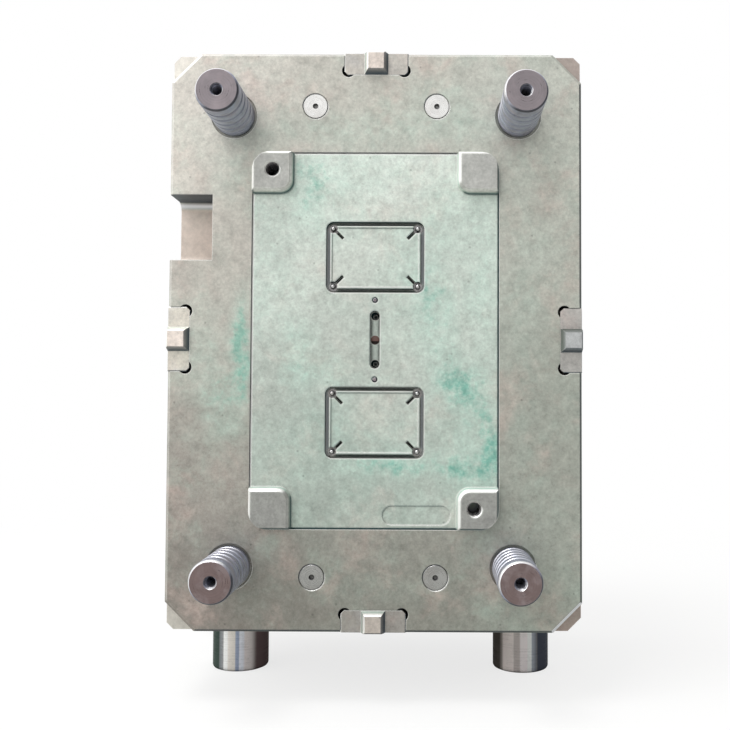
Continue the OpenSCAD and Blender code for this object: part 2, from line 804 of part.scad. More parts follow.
module clamp_plate() {
    color(steel) stand() difference() {
        plate(clamp_w, plate_h, clamp_y, rear_y);
        for (c = corner_signs) {
            at([c[0] * clamp_screw_x, c[1] * clamp_screw_z])
                screw_hole(clamp_screw_d, clamp_y - eps, rear_y);
            at([c[0] * ejector_guide_x, c[1] * ejector_guide_z]) {
                rod(clamp_y - eps, rear_y + eps, ejector_guide_d + 2 * fit_gap);
                rod(rear_y - guide_head_t, rear_y + eps, ejector_guide_head_d + 2 * screw_gap);
            }
        }
        for (p = pillar_places) at(p)
            screw_hole(pillar_screw_d, clamp_y - eps, rear_y);
        for (p = stop_places) at(p)
            rod(clamp_y - eps, clamp_y + stop_shank_l + tip_gap, stop_shank_d + 2 * fit_gap);
        for (p = boss_places) at(p) {
            rod(clamp_y - eps, rear_y + eps, core_pin_d + 2 * fit_gap);
            rod(rear_y - plug_sink - plug_t - pin_head_t, rear_y + eps, plug_d + 2 * fit_gap);
        }
        rod(clamp_y - eps, rear_y + eps, knockout_d);
    }
}

module clamp_screws() {
    color(black_oxide) stand() for (c = corner_signs)
        at([c[0] * clamp_screw_x, c[1] * clamp_screw_z])
            socket_screw(clamp_screw_d, core_plate_t - clamp_thread + tip_gap, rear_y - head_sink);
}

/* Inside the ejector box, fixed */

module support_pillars() {
    color(dark_steel) stand() for (p = pillar_places) at(p) difference() {
        union() {
            taper_rod(spacer_y, spacer_y + pillar_chamfer, pillar_d - 2 * pillar_chamfer, pillar_d);
            rod(spacer_y + pillar_chamfer, clamp_y - pillar_chamfer, pillar_d);
            taper_rod(clamp_y - pillar_chamfer, clamp_y, pillar_d, pillar_d - 2 * pillar_chamfer);
        }
        rod(clamp_y - pillar_thread, clamp_y + eps, pillar_screw_d + 2 * fit_gap);
    }
}

module pillar_screws() {
    color(black_oxide) stand() for (p = pillar_places) at(p)
        socket_screw(pillar_screw_d, clamp_y - pillar_thread + tip_gap, rear_y - head_sink);
}

module stop_buttons() {
    front = clamp_y - stop_h;
    color(dark_steel) stand() for (p = stop_places) at(p) {
        taper_rod(front, front + stop_chamfer, stop_d - 2 * stop_chamfer, stop_d);
        rod(front + stop_chamfer, clamp_y, stop_d);
        rod(clamp_y - eps, clamp_y + stop_shank_l, stop_shank_d);
    }
}

module ejector_guide_pins() {
    color(dark_steel) stand() for (c = corner_signs)
        at([c[0] * ejector_guide_x, c[1] * ejector_guide_z])
            headed_pin(ejector_guide_d, core_plate_t - ejector_guide_seat, rear_y,
                ejector_guide_head_d, guide_head_t);
}

// Fixed pins inside the ejector sleeves, with round tips
module core_pins() {
    r = core_pin_d / 2;
    color(pale_steel) stand() for (p = boss_places) at(p) {
        translate([0, core_pin_tip + r, 0]) sphere(r = r);
        headed_pin(core_pin_d, core_pin_tip + r, rear_y - plug_sink - plug_t, core_head_d, pin_head_t);
    }
}

// Set screws that hold the core pins' heads
module core_pin_plugs() {
    color(black_oxide) stand() for (p = boss_places) at(p) difference() {
        rod(rear_y - plug_sink - plug_t, rear_y - plug_sink, plug_d);
        translate([0, rear_y - plug_sink + eps, 0]) rotate([90, 0, 0])
            cylinder(h = plug_t / 2, d = plug_d / 2, $fn = 6);
    }
}

module water_plugs() {
    color(bronze) stand() for (s = [-1, 1]) translate([s * water_x, water_y, plate_h / 2])
        difference() {
            translate([0, 0, plug_gap - port_depth])
                cylinder(h = port_depth - 2 * plug_gap, d = port_d - 2 * fit_gap);
            translate([0, 0, -plug_hex]) cylinder(h = plug_hex, d = plug_hex, $fn = 6);
        }
}

// Point number k of the spring's wire: angle in degrees and place along the spring
function wire_angle(k) = k * 360 / spring_steps;
function wire_rise(k) = let (t = k / spring_steps, last = spring_turns + spring_end_turns)
    spring_wire * min(t, spring_end_turns / 2)
    + spring_pitch * max(0, min(t, last - spring_end_turns / 2) - spring_end_turns / 2)
    + spring_wire * max(0, t - last + spring_end_turns / 2);

// Return spring of flat wire, wound from the pocket's floor to the retainer plate
module spring() {
    count = spring_steps * (spring_turns + spring_end_turns);
    outer = spring_d / 2;
    inner = outer - spring_wire;
    points = [for (k = [0:count], q = [[inner, 0], [outer, 0], [outer, spring_flat], [inner, spring_flat]])
        [q[0] * cos(wire_angle(k)), q[0] * sin(wire_angle(k)), wire_rise(k) + q[1]]];
    sides = [for (k = [0:count - 1], i = [0:3])
        [4 * k + i, 4 * k + 4 + i, 4 * k + 4 + (i + 1) % 4, 4 * k + (i + 1) % 4]];
    polyhedron(points, concat([[0, 1, 2, 3]], sides, [[for (i = [3:-1:0]) 4 * count + i]]), 10);
}

module return_springs() {
    color(spring_blue) stand() for (p = return_places) at(p)
        translate([0, core_plate_t - spring_pocket + seat_gap, 0]) rotate([-90, 0, 0]) spring();
}

/* Ejector set, which slides forward */

module retainer_hole(d, head_d, head_t) {
    rod(retainer_y - eps, ejector_y + eps, d + 2 * free_gap);
    rod(ejector_y - head_t, ejector_y + eps, head_d + 2 * free_gap);
}

module ejector_retainer_plate() {
    color(steel) stand() difference() {
        plate(ejector_w, plate_h, retainer_y, ejector_y);
        for (p = return_places) at(p) retainer_hole(return_d, return_head_d, return_head_t);
        for (p = boss_places) at(p) retainer_hole(sleeve_d, sleeve_head_d, pin_head_t);
        for (s = [-1, 1]) at([0, s * gate_pin_z]) retainer_hole(gate_pin_d, gate_head_d, pin_head_t);
        retainer_hole(puller_d, puller_head_d, pin_head_t);
        for (c = corner_signs) {
            at([c[0] * ejector_guide_x, c[1] * ejector_guide_z])
                rod(retainer_y - eps, ejector_y + eps, bush_d + 2 * fit_gap);
            at([c[0] * ejector_screw_x, c[1] * ejector_screw_z])
                rod(retainer_y - eps, ejector_y + eps, ejector_screw_d + 2 * fit_gap);
        }
        for (p = pillar_places) at(p) rod(retainer_y - eps, ejector_y + eps, pillar_d + 4 * screw_gap);
    }
}

module ejector_plate() {
    color(steel) stand() difference() {
        plate(ejector_w, plate_h, ejector_y, ejector_y + ejector_t);
        for (c = corner_signs) {
            at([c[0] * ejector_guide_x, c[1] * ejector_guide_z]) {
                rod(ejector_y - eps, clamp_y, bush_d + 2 * fit_gap);
                rod(ejector_y + ejector_t - bush_flange_t, clamp_y, bush_flange_d + 2 * fit_gap);
            }
            at([c[0] * ejector_screw_x, c[1] * ejector_screw_z])
                screw_hole(ejector_screw_d, ejector_y - eps, ejector_y + ejector_t);
        }
        for (p = pillar_places) at(p) rod(ejector_y - eps, clamp_y, pillar_d + 4 * screw_gap);
        for (p = boss_places) at(p) rod(ejector_y - eps, clamp_y, core_pin_d + 2 * free_gap);
        rod(ejector_y + ejector_t - knockout_tap_depth, clamp_y, knockout_tap_d);
    }
}

module ejector_plate_screws() {
    color(black_oxide) stand() for (c = corner_signs)
        at([c[0] * ejector_screw_x, c[1] * ejector_screw_z])
            socket_screw(ejector_screw_d, retainer_y + tip_gap, ejector_y + ejector_t - head_sink);
}

module ejector_guide_bushes() {
    y1 = ejector_y + ejector_t;
    color(bronze) stand() for (c = corner_signs)
        at([c[0] * ejector_guide_x, c[1] * ejector_guide_z]) difference() {
            union() {
                rod(retainer_y, y1 - bush_flange_t, bush_d);
                rod(y1 - bush_flange_t, y1, bush_flange_d);
            }
            rod(retainer_y - eps, y1 + eps, ejector_guide_d + 2 * run_gap);
        }
}

module return_pins() {
    mark_d = 3;
    mark_depth = 3;
    color(dark_steel) stand() for (p = return_places) at(p) difference() {
        headed_pin(return_d, 0, ejector_y, return_head_d, return_head_t);
        rod(-eps, mark_depth, mark_d);
    }
}

module ejector_sleeves() {
    color(pale_steel) stand() for (p = boss_places) at(p) difference() {
        headed_pin(sleeve_d, boss_depth, ejector_y, sleeve_head_d, pin_head_t);
        rod(boss_depth - eps, ejector_y + eps, core_pin_d + 2 * run_gap);
    }
}

// Small ejector pins with a tapered tip
module gate_ejector_pins() {
    tip = 0.9;
    color(dark_steel) stand() for (s = [-1, 1]) at([0, s * gate_pin_z]) {
        taper_rod(0, tip, gate_pin_d - 2 * tip, gate_pin_d);
        headed_pin(gate_pin_d, tip, ejector_y, gate_head_d, pin_head_t);
    }
}

// Puller pin, flush with the runner's floor, with an undercut lower half that holds the sprue
module sprue_puller() {
    tip = runner_depth;
    hook = 3;
    undercut = 0.6;
    color(dark_steel) stand() difference() {
        headed_pin(puller_d, tip, ejector_y, puller_head_d, pin_head_t);
        translate([-puller_d, 0, 0]) rotate([90, 0, 90]) linear_extrude(height = 2 * puller_d)
            polygon([[tip - eps, -undercut], [tip + hook, undercut], [tip + hook, -puller_d],
                [tip - eps, -puller_d]]);
    }
}

/* Feet */

module foot(s) {
    color(pale_steel) stand() translate([s * foot_x, foot_y, -plate_h / 2 - foot_h]) difference() {
        union() {
            cylinder(h = foot_chamfer, d1 = foot_d - 2 * foot_chamfer, d2 = foot_d);
            translate([0, 0, foot_chamfer]) cylinder(h = foot_h - 2 * foot_chamfer, d = foot_d);
            translate([0, 0, foot_h - foot_chamfer])
                cylinder(h = foot_chamfer, d1 = foot_d, d2 = foot_d - 2 * foot_chamfer);
        }
        translate([0, 0, -eps]) cylinder(h = foot_h + 2 * eps, d = foot_screw_d + 2 * screw_gap);
        translate([0, 0, -eps]) cylinder(h = foot_recess, d = head_ratio * foot_screw_d + 2 * screw_gap);
    }
}

module foot_left() { foot(-1); }
module foot_right() { foot(1); }

module foot_screws() {
    head_z = plate_h / 2 + foot_h - foot_recess + foot_screw_d;
    color(black_oxide) stand() for (s = [-1, 1]) translate([s * foot_x, foot_y, 0])
        rotate([-90, 0, 0]) socket_screw(foot_screw_d, plate_h / 2 - foot_thread + tip_gap, head_z);
}

core_plate();
core_insert();
insert_screws();
guide_pin_top_left();
guide_pin_top_right();
guide_pin_bottom_left();
guide_pin_bottom_right();
side_lock_top();
side_lock_left();
side_lock_right();
side_lock_bottom();
side_lock_screws();
spacer_left();
spacer_right();
clamp_plate();
clamp_screws();
support_pillars();
pillar_screws();
stop_buttons();
ejector_guide_pins();
core_pins();
core_pin_plugs();
water_plugs();
foot_left();
foot_right();
foot_screws();
return_springs();
ejector_retainer_plate();
ejector_plate();
ejector_plate_screws();
ejector_guide_bushes();
return_pins();
ejector_sleeves();
gate_ejector_pins();
sprue_puller();
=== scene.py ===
"""Moving half of an injection mould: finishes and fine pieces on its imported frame.

Sizes in the classes are millimetres, as on a drawing. Meshes are metres in the frame's axes:
X to the right, Y from the parting face to the rear, Z up, with the feet standing on Z = 0.
"""

import json
import logging
import math
from dataclasses import dataclass, field
from enum import Enum
from functools import reduce
from typing import Callable

import bmesh
import bpy
from mathutils import Matrix, Vector

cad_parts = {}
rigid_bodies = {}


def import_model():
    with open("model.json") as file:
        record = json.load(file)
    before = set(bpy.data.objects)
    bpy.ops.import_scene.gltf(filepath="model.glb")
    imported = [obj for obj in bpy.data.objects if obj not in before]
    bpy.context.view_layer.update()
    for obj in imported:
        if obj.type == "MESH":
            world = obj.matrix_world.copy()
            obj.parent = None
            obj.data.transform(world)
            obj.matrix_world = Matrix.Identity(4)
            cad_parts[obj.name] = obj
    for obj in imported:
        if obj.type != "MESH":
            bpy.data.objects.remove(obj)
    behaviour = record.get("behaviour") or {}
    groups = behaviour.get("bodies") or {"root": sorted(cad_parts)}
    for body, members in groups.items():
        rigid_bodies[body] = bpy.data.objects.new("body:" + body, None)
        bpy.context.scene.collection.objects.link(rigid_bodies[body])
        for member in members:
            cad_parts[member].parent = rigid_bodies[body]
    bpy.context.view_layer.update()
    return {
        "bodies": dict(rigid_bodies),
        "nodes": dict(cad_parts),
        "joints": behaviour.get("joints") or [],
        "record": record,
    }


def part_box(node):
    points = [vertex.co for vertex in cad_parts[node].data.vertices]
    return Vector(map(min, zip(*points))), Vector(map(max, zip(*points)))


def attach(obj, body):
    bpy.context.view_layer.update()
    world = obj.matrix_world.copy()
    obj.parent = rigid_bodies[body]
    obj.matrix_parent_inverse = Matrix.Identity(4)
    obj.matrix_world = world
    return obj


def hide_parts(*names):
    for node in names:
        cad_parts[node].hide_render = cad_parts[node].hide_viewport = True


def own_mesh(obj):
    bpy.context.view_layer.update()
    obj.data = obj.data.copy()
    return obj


LOG = logging.getLogger("mould")
MM = 0.001
FACE_Y = -64.0  # place of the parting face in the frame, mm
CENTRE_Z = 220.0  # middle of the plates' height, mm
UP_LEFT = (-0.6, 0.0, 0.8)  # where edges look that get painted highlights; edges looking away get painted shade
KNURL_DEPTH = 0.025  # share of a screw head's radius
HEX_CORNER = 1.155  # a hexagon's width across corners, for a width of 1 across flats
SHARP_EDGE = 32.0  # degrees from which an edge is shaded sharp
Socket = bpy.types.NodeSocket


class Body(Enum):
    """Bodies of the frame that pieces ride on."""

    HALF = "moving_half"
    EJECTOR = "ejector_set"


class Slot(Enum):
    """Material slots of the record."""

    PLATE = "plate_steel"
    INSERT = "insert_steel"
    LOCK = "lock_steel"
    PIN = "pin_steel"
    BRIGHT = "bright_steel"
    OXIDE = "oxide_steel"
    BRONZE = "bronze"
    BRASS = "brass"
    SPRING = "spring_paint"


class Axis(Enum):
    """Directions that a turned piece's length runs in, from its first ring to its last."""

    REAR = (0, 1, 0)
    FRONT = (0, -1, 0)
    UP = (0, 0, 1)
    DOWN = (0, 0, -1)
    LEFT = (-1, 0, 0)
    RIGHT = (1, 0, 0)

    def matrix(self) -> Matrix:
        """Turn that takes local +Z to this direction."""
        return Vector(self.value).to_track_quat("Z", "Y").to_matrix().to_4x4()


class Shape(Enum):
    """Cross-sections that a turned piece's rings can have."""

    ROUND = "round"
    HEX = "hex"
    KNURL = "knurl"


def linear(code: str) -> tuple[float, float, float, float]:
    """Turns an sRGB hex colour into linear light.

    Args:
        code: colour as six hex digits after a hash.

    Returns:
        Red, green, blue and alpha in linear light.
    """
    channels = [int(code[i:i + 2], 16) / 255 for i in (1, 3, 5)]
    values = [c / 12.92 if c <= 0.04045 else ((c + 0.055) / 1.055) ** 2.4 for c in channels]
    return values[0], values[1], values[2], 1.0


def add(tree: bpy.types.NodeTree, kind: str, inputs: dict | None = None,
        **settings: str | int | bool) -> bpy.types.Node:
    """Adds a node, sets its properties and fills its inputs.

    Args:
        tree: node tree that takes the node.
        kind: the node's type name.
        inputs: input name or number to a value, or to a socket that is linked to it.
        settings: properties of the node.

    Returns:
        The new node.
    """
    node = tree.nodes.new(kind)
    for name, value in settings.items():
        setattr(node, name, value)
    for key, value in (inputs or {}).items():
        if isinstance(value, Socket):
            tree.links.new(value, node.inputs[key])
        else:
            node.inputs[key].default_value = value
    return node


def per_mm(size: float) -> float:
    """Texture scale at which one feature of a pattern measures size millimetres."""
    return 1 / (size * MM)


def placed(name: str, data: bpy.types.ID) -> bpy.types.Object:
    """Adds an object to the scene, with its mesh, lamp or camera as data."""
    obj = bpy.data.objects.new(name, data)
    bpy.context.scene.collection.objects.link(obj)
    return obj


class Wiring:
    """A node tree, with short calls for the arithmetic that finishes and studio share."""

    def __init__(self, tree: bpy.types.NodeTree) -> None:
        """Takes up the tree that gets the nodes."""
        self.tree = tree

    def span(self, value: Socket, low: float, high: float, start: float = 0.0,
             end: float = 1.0, smooth: bool = False) -> Socket:
        """Maps low..high of a value to start..end, and holds it there outside.

        Args:
            value: socket to map.
            low: value that gives start.
            high: value that gives end.
            start: result at low.
            end: result at high.
            smooth: eases in and out.

        Returns:
            Socket with the result.
        """
        kind = "SMOOTHSTEP" if smooth else "LINEAR"
        return add(self.tree, "ShaderNodeMapRange", {
            "Value": value, "From Min": low, "From Max": high, "To Min": start, "To Max": end},
            interpolation_type=kind).outputs[0]

    def sum(self, first: Socket, second: Socket | float, operation: str = "ADD",
            clamp: bool = False) -> Socket:
        """Joins two values by an arithmetic operation.

        Args:
            first: first value.
            second: second value, or a plain number.
            operation: the operation's name.
            clamp: keeps the result in 0 to 1.

        Returns:
            Socket with the result.
        """
        return add(self.tree, "ShaderNodeMath", {0: first, 1: second}, operation=operation,
                   use_clamp=clamp).outputs[0]

    def times(self, *values: Socket | float) -> Socket:
        """Product of values."""
        return reduce(lambda first, second: self.sum(first, second, "MULTIPLY"), values)

    def size(self, value: Socket) -> Socket:
        """A value without its sign."""
        return self.sum(value, 0.0, "ABSOLUTE")

    def rest(self, share: Socket) -> Socket:
        """What a share leaves of 1."""
        return self.span(share, 0.0, 1.0, 1.0, 0.0)


class Recipe(Wiring):
    """A material while it is being made, with its colour so far.

    Its places are in mm, in the mould's own axes: right of the mould's middle, behind the parting
    face, and above the mould's middle.
    """

    colour: Socket

    def __init__(self, name: str) -> None:
        """Starts the material.

        Args:
            name: the material's name, after the real finish.
        """
        self.material = bpy.data.materials.new(name)
        self.material.use_nodes = True
        super().__init__(self.material.node_tree)
        self.shader = self.tree.nodes["Principled BSDF"]
        self.coords = add(self.tree, "ShaderNodeTexCoord").outputs["Object"]
        ways = add(self.tree, "ShaderNodeSeparateXYZ", {0: self.coords}).outputs
        self.right, self.behind, self.above = (
            add(self.tree, "ShaderNodeMath", {0: way, 1: 1 / MM, 2: -start},
                operation="MULTIPLY_ADD").outputs[0]
            for way, start in zip(ways, (0.0, FACE_Y, CENTRE_Z)))

    def noise(self, size: float, seed: float = 0.0, detail: float = 5.0, roughness: float = 0.65,
              warp: float = 0.0, vector: Socket | None = None, output: str = "Fac") -> Socket:
        """Noise with features of a real size.

        Args:
            size: size of the largest features in mm.
            seed: tells patterns of the same size apart.
            detail: number of finer layers.
            roughness: strength of the finer layers.
            warp: how much the pattern swirls.
            vector: other coordinates than the object's own.
            output: which output to take.

        Returns:
            Socket with the noise.
        """
        return add(self.tree, "ShaderNodeTexNoise", {
            "Vector": vector or self.coords, "W": seed, "Scale": per_mm(size), "Detail": detail,
            "Roughness": roughness, "Distortion": warp}, noise_dimensions="4D").outputs[output]

    def blend(self, amount: Socket, below: Socket | str, above: Socket | str) -> Socket:
        """Lays one colour over another.

        Args:
            amount: share of the upper colour.
            below: lower colour, a socket or an sRGB hex colour.
            above: upper colour, likewise.

        Returns:
            Socket with the colour.
        """
        pair = [linear(c) if isinstance(c, str) else c for c in (below, above)]
        return add(self.tree, "ShaderNodeMix", {0: amount, 6: pair[0], 7: pair[1]},
                   data_type="RGBA").outputs[2]

    def plain(self, code: str) -> Socket:
        """Socket with one sRGB hex colour."""
        node = add(self.tree, "ShaderNodeRGB")
        node.outputs[0].default_value = linear(code)
        return node.outputs[0]

    def lay(self, amount: Socket, colour: Socket | str) -> None:
        """Lays a colour over the one so far."""
        self.colour = self.blend(amount, self.colour, colour)

    def scaled(self, colour: Socket, factor: Socket) -> Socket:
        """A colour darkened or brightened by a factor."""
        return add(self.tree, "ShaderNodeVectorMath", {0: colour, "Scale": factor},
                   operation="SCALE").outputs[0]

    def shade(self, factor: Socket) -> None:
        """Darkens or brightens the colour so far."""
        self.colour = self.scaled(self.colour, factor)

    def corners(self, reach: float, darkest: float, low: float = 0.3, high: float = 0.92) -> Socket:
        """Factor of painted shade, which falls where surfaces close in on each other.

        Args:
            reach: how far to look for other surfaces, in mm.
            darkest: factor in the tightest corners.
            low: openness that gives darkest.
            high: openness that gives 1.

        Returns:
            Socket with the factor.
        """
        openness = add(self.tree, "ShaderNodeAmbientOcclusion", {"Distance": reach * MM}, samples=6)
        return self.span(openness.outputs["AO"], low, high, darkest, 1.0)

    def dot(self, first: Socket, second: Socket | tuple[float, float, float]) -> Socket:
        """Dot product of two vectors."""
        return add(self.tree, "ShaderNodeVectorMath", {0: first, 1: second},
                   operation="DOT_PRODUCT").outputs["Value"]

    def normal(self) -> Socket:
        """Direction that the surface faces."""
        return add(self.tree, "ShaderNodeNewGeometry").outputs["Normal"]

    def facing(self) -> tuple[Socket, Socket, Socket]:
        """X, Y and Z of the direction that the surface faces."""
        across, along, up = add(self.tree, "ShaderNodeSeparateXYZ", {0: self.normal()}).outputs
        return across, along, up

    def rounded(self, width: float) -> Socket:
        """Normal that turns evenly round edges, over a band of a real width in mm."""
        return add(self.tree, "ShaderNodeBevel", {"Radius": width * MM}, samples=4).outputs[0]

    def worn_edges(self, rounded: Socket) -> Socket:
        """Mask of outer and inner edges, from a normal that turns round them."""
        return self.span(self.dot(rounded, self.normal()), 0.99, 0.86)

    def finish(self, metallic: Socket | float, roughness: Socket, height: Socket,
               relief: float, gloss: Socket | float = 0.5) -> bpy.types.Material:
        """Connects the material's shader.

        Args:
            metallic: metallic share.
            roughness: roughness.
            height: pattern of the surface's relief.
            relief: the relief's depth in mm.
            gloss: strength of the reflections that don't come from the metal, 0.5 as usual.

        Returns:
            The finished material.
        """
        bump = add(self.tree, "ShaderNodeBump", {"Height": height, "Strength": 0.3,
                                                 "Distance": relief * MM})
        wanted = {"Base Color": self.colour, "Metallic": metallic, "Roughness": roughness,
                  "Normal": bump.outputs[0], "Specular IOR Level": gloss}
        for name, value in wanted.items():
            if isinstance(value, Socket):
                self.tree.links.new(value, self.shader.inputs[name])
            else:
                self.shader.inputs[name].default_value = value
        return self.material


@dataclass(frozen=True)
class Stain:
    """A patch of rust-proofing film on the parting face, in the mould's own axes and mm.

    Args:
        x: distance right of the mould's centre.
        z: distance above the mould's centre.
        wide: half its width.
        high: half its height.
        strength: how dense the film is in its middle, 0 to 1.
    """

    x: float
    z: float
    wide: float
    high: float
    strength: float


INSERT_STAINS = (
    Stain(-42, 97, 13, 24, 0.3), Stain(-38, 86, 28, 36, 0.22), Stain(22, 46, 22, 30, 0.24),
    Stain(33, 26, 14, 20, 0.42), Stain(38, -4, 15, 30, 0.5), Stain(50, -26, 22, 16, 0.44),
    Stain(69, -64, 9, 32, 0.66), Stain(58, -44, 18, 28, 0.34), Stain(24, -76, 40, 8, 0.6),
    Stain(56, -80, 18, 18, 0.36), Stain(-47, -10, 13, 30, 0.46), Stain(-26, -20, 18, 14, 0.36),
    Stain(-62, 40, 16, 66, 0.24), Stain(66, 44, 10, 60, 0.26), Stain(-16, -62, 44, 28, 0.24),
    Stain(46, 84, 22, 24, 0.24), Stain(-54, -78, 24, 32, 0.18), Stain(0, 66, 60, 12, 0.16),
)
PLATE_STAINS = (
    Stain(-79, -4, 6, 34, 0.6), Stain(-81, -12, 8, 44, 0.45), Stain(-90, -38, 14, 22, 0.42),
    Stain(44, 138, 32, 20, 0.3), Stain(-102, -20, 16, 60, 0.22), Stain(0, 128, 70, 11, 0.26),
    Stain(0, -150, 40, 12, 0.14), Stain(90, 10, 14, 90, 0.24), Stain(-78, 110, 22, 22, 0.2),
)


@dataclass(frozen=True)
class GroundSteel:
    """Surface-ground tool steel under a thin blotchy film of green rust-proofing spray.

    The film dries in clouds, darkens where it pools and dulls the metal below it. Faces that
    stand proud of the parting face were ground last and are bare. Light and shade are painted in:
    the steel is darker lower down, edges that look up or to the left get painted highlights, those
    that look down or to the right get painted shade, and the grooves hold near-black painted shade.

    Args:
        name: the material's name.
        pale: steel at the top.
        dark: steel at the bottom; the change from pale to dark is painted shade.
        blush: patches of warmer steel.
        tint: patches of cooler steel, most of them to the right.
        film: the film where it is thin.
        deep_film: the film where it pools.
        bare: faces that stand proud.
        shade_colour: painted shade on edges that look down or to the right.
        film_amount: density of the film's clouds.
        stains: patches of film in fixed places.
        grooved: whether it has the grooves round the cores.
        edge: width of its edges in mm.
        shade_share: how strong the painted shade on edges is, 0 to 1.
        left_light: painted light, the brightness at the mould's left.
        bare_low_shade: painted shade, the brightness of bare faces at the mould's bottom.
        slope_shade: painted shade on the upper end of proud slopes.
        slope_light: painted light, the brightness of the upper end of shaded proud slopes.
        right_shade: how strongly painted shade darkens the bare faces at the mould's right.
        half_sizes: half the plate's width and height in mm.
        outer_highlight: how bright the painted highlight on the plate's outermost edges is.
        metallic: metallic share of the clean steel.
        roughness: its roughness.
    """

    name: str
    pale: str
    dark: str
    blush: str
    tint: str
    film: str
    deep_film: str
    bare: str
    shade_colour: str
    film_amount: float
    stains: tuple[Stain, ...] = ()
    grooved: bool = False
    edge: float = 0.9
    shade_share: float = 1.0
    left_light: float = 1.0
    bare_low_shade: float = 0.7
    slope_shade: float = 0.0
    slope_light: float = 1.4
    right_shade: float = 0.0
    half_sizes: tuple[float, float] = (125.0, 175.0)
    outer_highlight: float = 1.0
    metallic: float = 0.55
    roughness: float = 0.4

    def film_mask(self, r: Recipe) -> Socket:
        """Density of the film, from broad clouds and the placed stains.

        Args:
            r: the material being made.

        Returns:
            Socket with a value from 0 to 1.
        """
        push = add(r.tree, "ShaderNodeVectorMath", {0: r.noise(30, 1.0, output="Color"),
                                                    1: (0.5, 0.5, 0.5)}, operation="SUBTRACT")
        reach = add(r.tree, "ShaderNodeVectorMath", {0: push.outputs[0], "Scale": 24 * MM},
                    operation="SCALE")
        loose = add(r.tree, "ShaderNodeVectorMath", {0: r.coords, 1: reach.outputs[0]})
        total = r.span(r.noise(46, 2.0, 6.0, 0.6, 0.3), 0.38, 0.78, 0.0, self.film_amount, True)
        for stain in self.stains:
            wide, high = stain.wide * MM, stain.high * MM
            place = add(r.tree, "ShaderNodeMapping", {
                "Vector": loose.outputs[0], "Scale": (1 / wide, 0, 1 / high),
                "Location": (-stain.x * MM / wide, 0, -(stain.z + CENTRE_Z) * MM / high)})
            away = add(r.tree, "ShaderNodeVectorMath", {0: place.outputs[0]}, operation="LENGTH")
            spot = r.span(away.outputs["Value"], 1.4, 0.0, 0.0, stain.strength, True)
            total = r.sum(total, spot)
        broken = r.span(r.noise(7, 3.0, 6.0, 0.72), 0.34, 0.66, 0.5, 1.35)
        return r.sum(total, broken, "MULTIPLY", clamp=True)

    def build(self) -> bpy.types.Material:
        """Makes the material.

        Returns:
            The finished material.
        """
        r = Recipe(self.name)
        self.steel(r)

        # Film over it, and its darker pools
        mask = self.film_mask(r)
        r.lay(r.times(mask, 0.9), self.film)
        r.lay(r.span(mask, 0.5, 1.0, 0.0, 0.8), self.deep_film)

        # Proud faces are bare, with painted shade lower down and at the mould's right
        dull = r.span(r.right, 90, 100, 0.0, self.right_shade)
        bare = r.scaled(r.plain(self.bare), r.span(r.above, -110, 110, self.bare_low_shade, 1.0))
        r.lay(r.span(r.behind, -2, -3.5), r.blend(dull, bare, "#BDC0C2"))

        # All is mottled by dust and the marks of a damp cloth, with a few dark specks
        mottle = r.sum(r.noise(1.7, 7.0, 4.0, 0.8), r.noise(6, 8.0, 5.0, 0.7))
        r.shade(r.span(mottle, 0.72, 1.28, 0.75, 1.24))
        # Painted light: brighter at the mould's left
        r.shade(r.span(r.right, -120, -40, self.left_light, 1.0))
        specks = add(r.tree, "ShaderNodeTexVoronoi", {"Vector": r.coords, "Scale": per_mm(11)})
        r.shade(r.span(specks.outputs["Distance"], 0.04, 0.08, 0.7, 1.0))

        # Painted shade in corners, and near-black painted shade down in the narrow grooves
        r.shade(r.corners(3.5, 0.4, 0.2, 0.72))
        shine: Socket | float = 0.5
        if self.grooved:
            shine = r.span(self.grooves(r), 0.0, 1.0, 0.5, 0.05)
        self.edges(r, dull)
        self.cut_light_and_tone(r)

        # Fine grinding lines show in the gloss alone
        lines = add(r.tree, "ShaderNodeMapping", {"Vector": r.coords, "Scale": (0.05, 1.0, 1.0)})
        ground = r.noise(0.9, 9.0, 2.0, 0.5, vector=lines.outputs[0])
        gloss = r.sum(r.times(ground, 0.4), r.times(mottle, 0.5))
        rough = r.span(gloss, 0.45, 0.95, self.roughness - 0.06, self.roughness + 0.12)
        metal = r.span(mask, 0.0, 1.0, self.metallic, self.metallic * 0.5)
        return r.finish(metal, rough, gloss, 0.06, shine)

    def steel(self, r: Recipe) -> None:
        """Starts with the steel's broad tone, with painted shade lower down and painted light at
        the mould's right, and its patches of warmer and cooler tone.

        Args:
            r: the material being made.
        """
        # Painted shade: pale at the top, dark at the bottom
        drift = r.span(r.noise(70, 4.0, 4.0, 0.55), 0.3, 0.7, -0.2, 0.2)
        tone = r.sum(r.span(r.above, -150, 120), drift, clamp=True)
        r.colour = r.blend(tone, self.dark, self.pale)
        r.lay(r.span(r.right, -110, 130, 0.0, 0.4), self.tint)
        # Painted light: brighter at the mould's right
        r.shade(r.span(r.right, 40, 120, 1.0, 1.1))
        r.lay(r.span(r.noise(30, 5.0, 6.0, 0.65, 0.4), 0.48, 0.7, 0.0, 0.42, True), self.blush)
        r.lay(r.span(r.noise(22, 6.0, 6.0, 0.66, 0.4), 0.5, 0.72, 0.0, 0.4, True), self.tint)

    def grooves(self, r: Recipe) -> Socket:
        """Lays near-black painted shade in the grooves round the cores and on all walls below the
        face, and a pale painted sheen in the side grooves.

        Args:
            r: the material being made.

        Returns:
            Socket with the share of painted shade.
        """
        narrow = r.span(r.corners(3, 0.0, 0.6, 0.85), 0.0, 1.0, 0.97, 0.0)
        tight = r.times(r.span(r.behind, 0.5, 1.1), narrow)
        # Near-black painted shade in the top and bottom grooves, pale painted sheen in the side
        # grooves
        beside = r.span(r.size(r.right), 27.5, 28.2)
        r.lay(tight, r.blend(beside, "#0A1316", "#9C9EA5"))
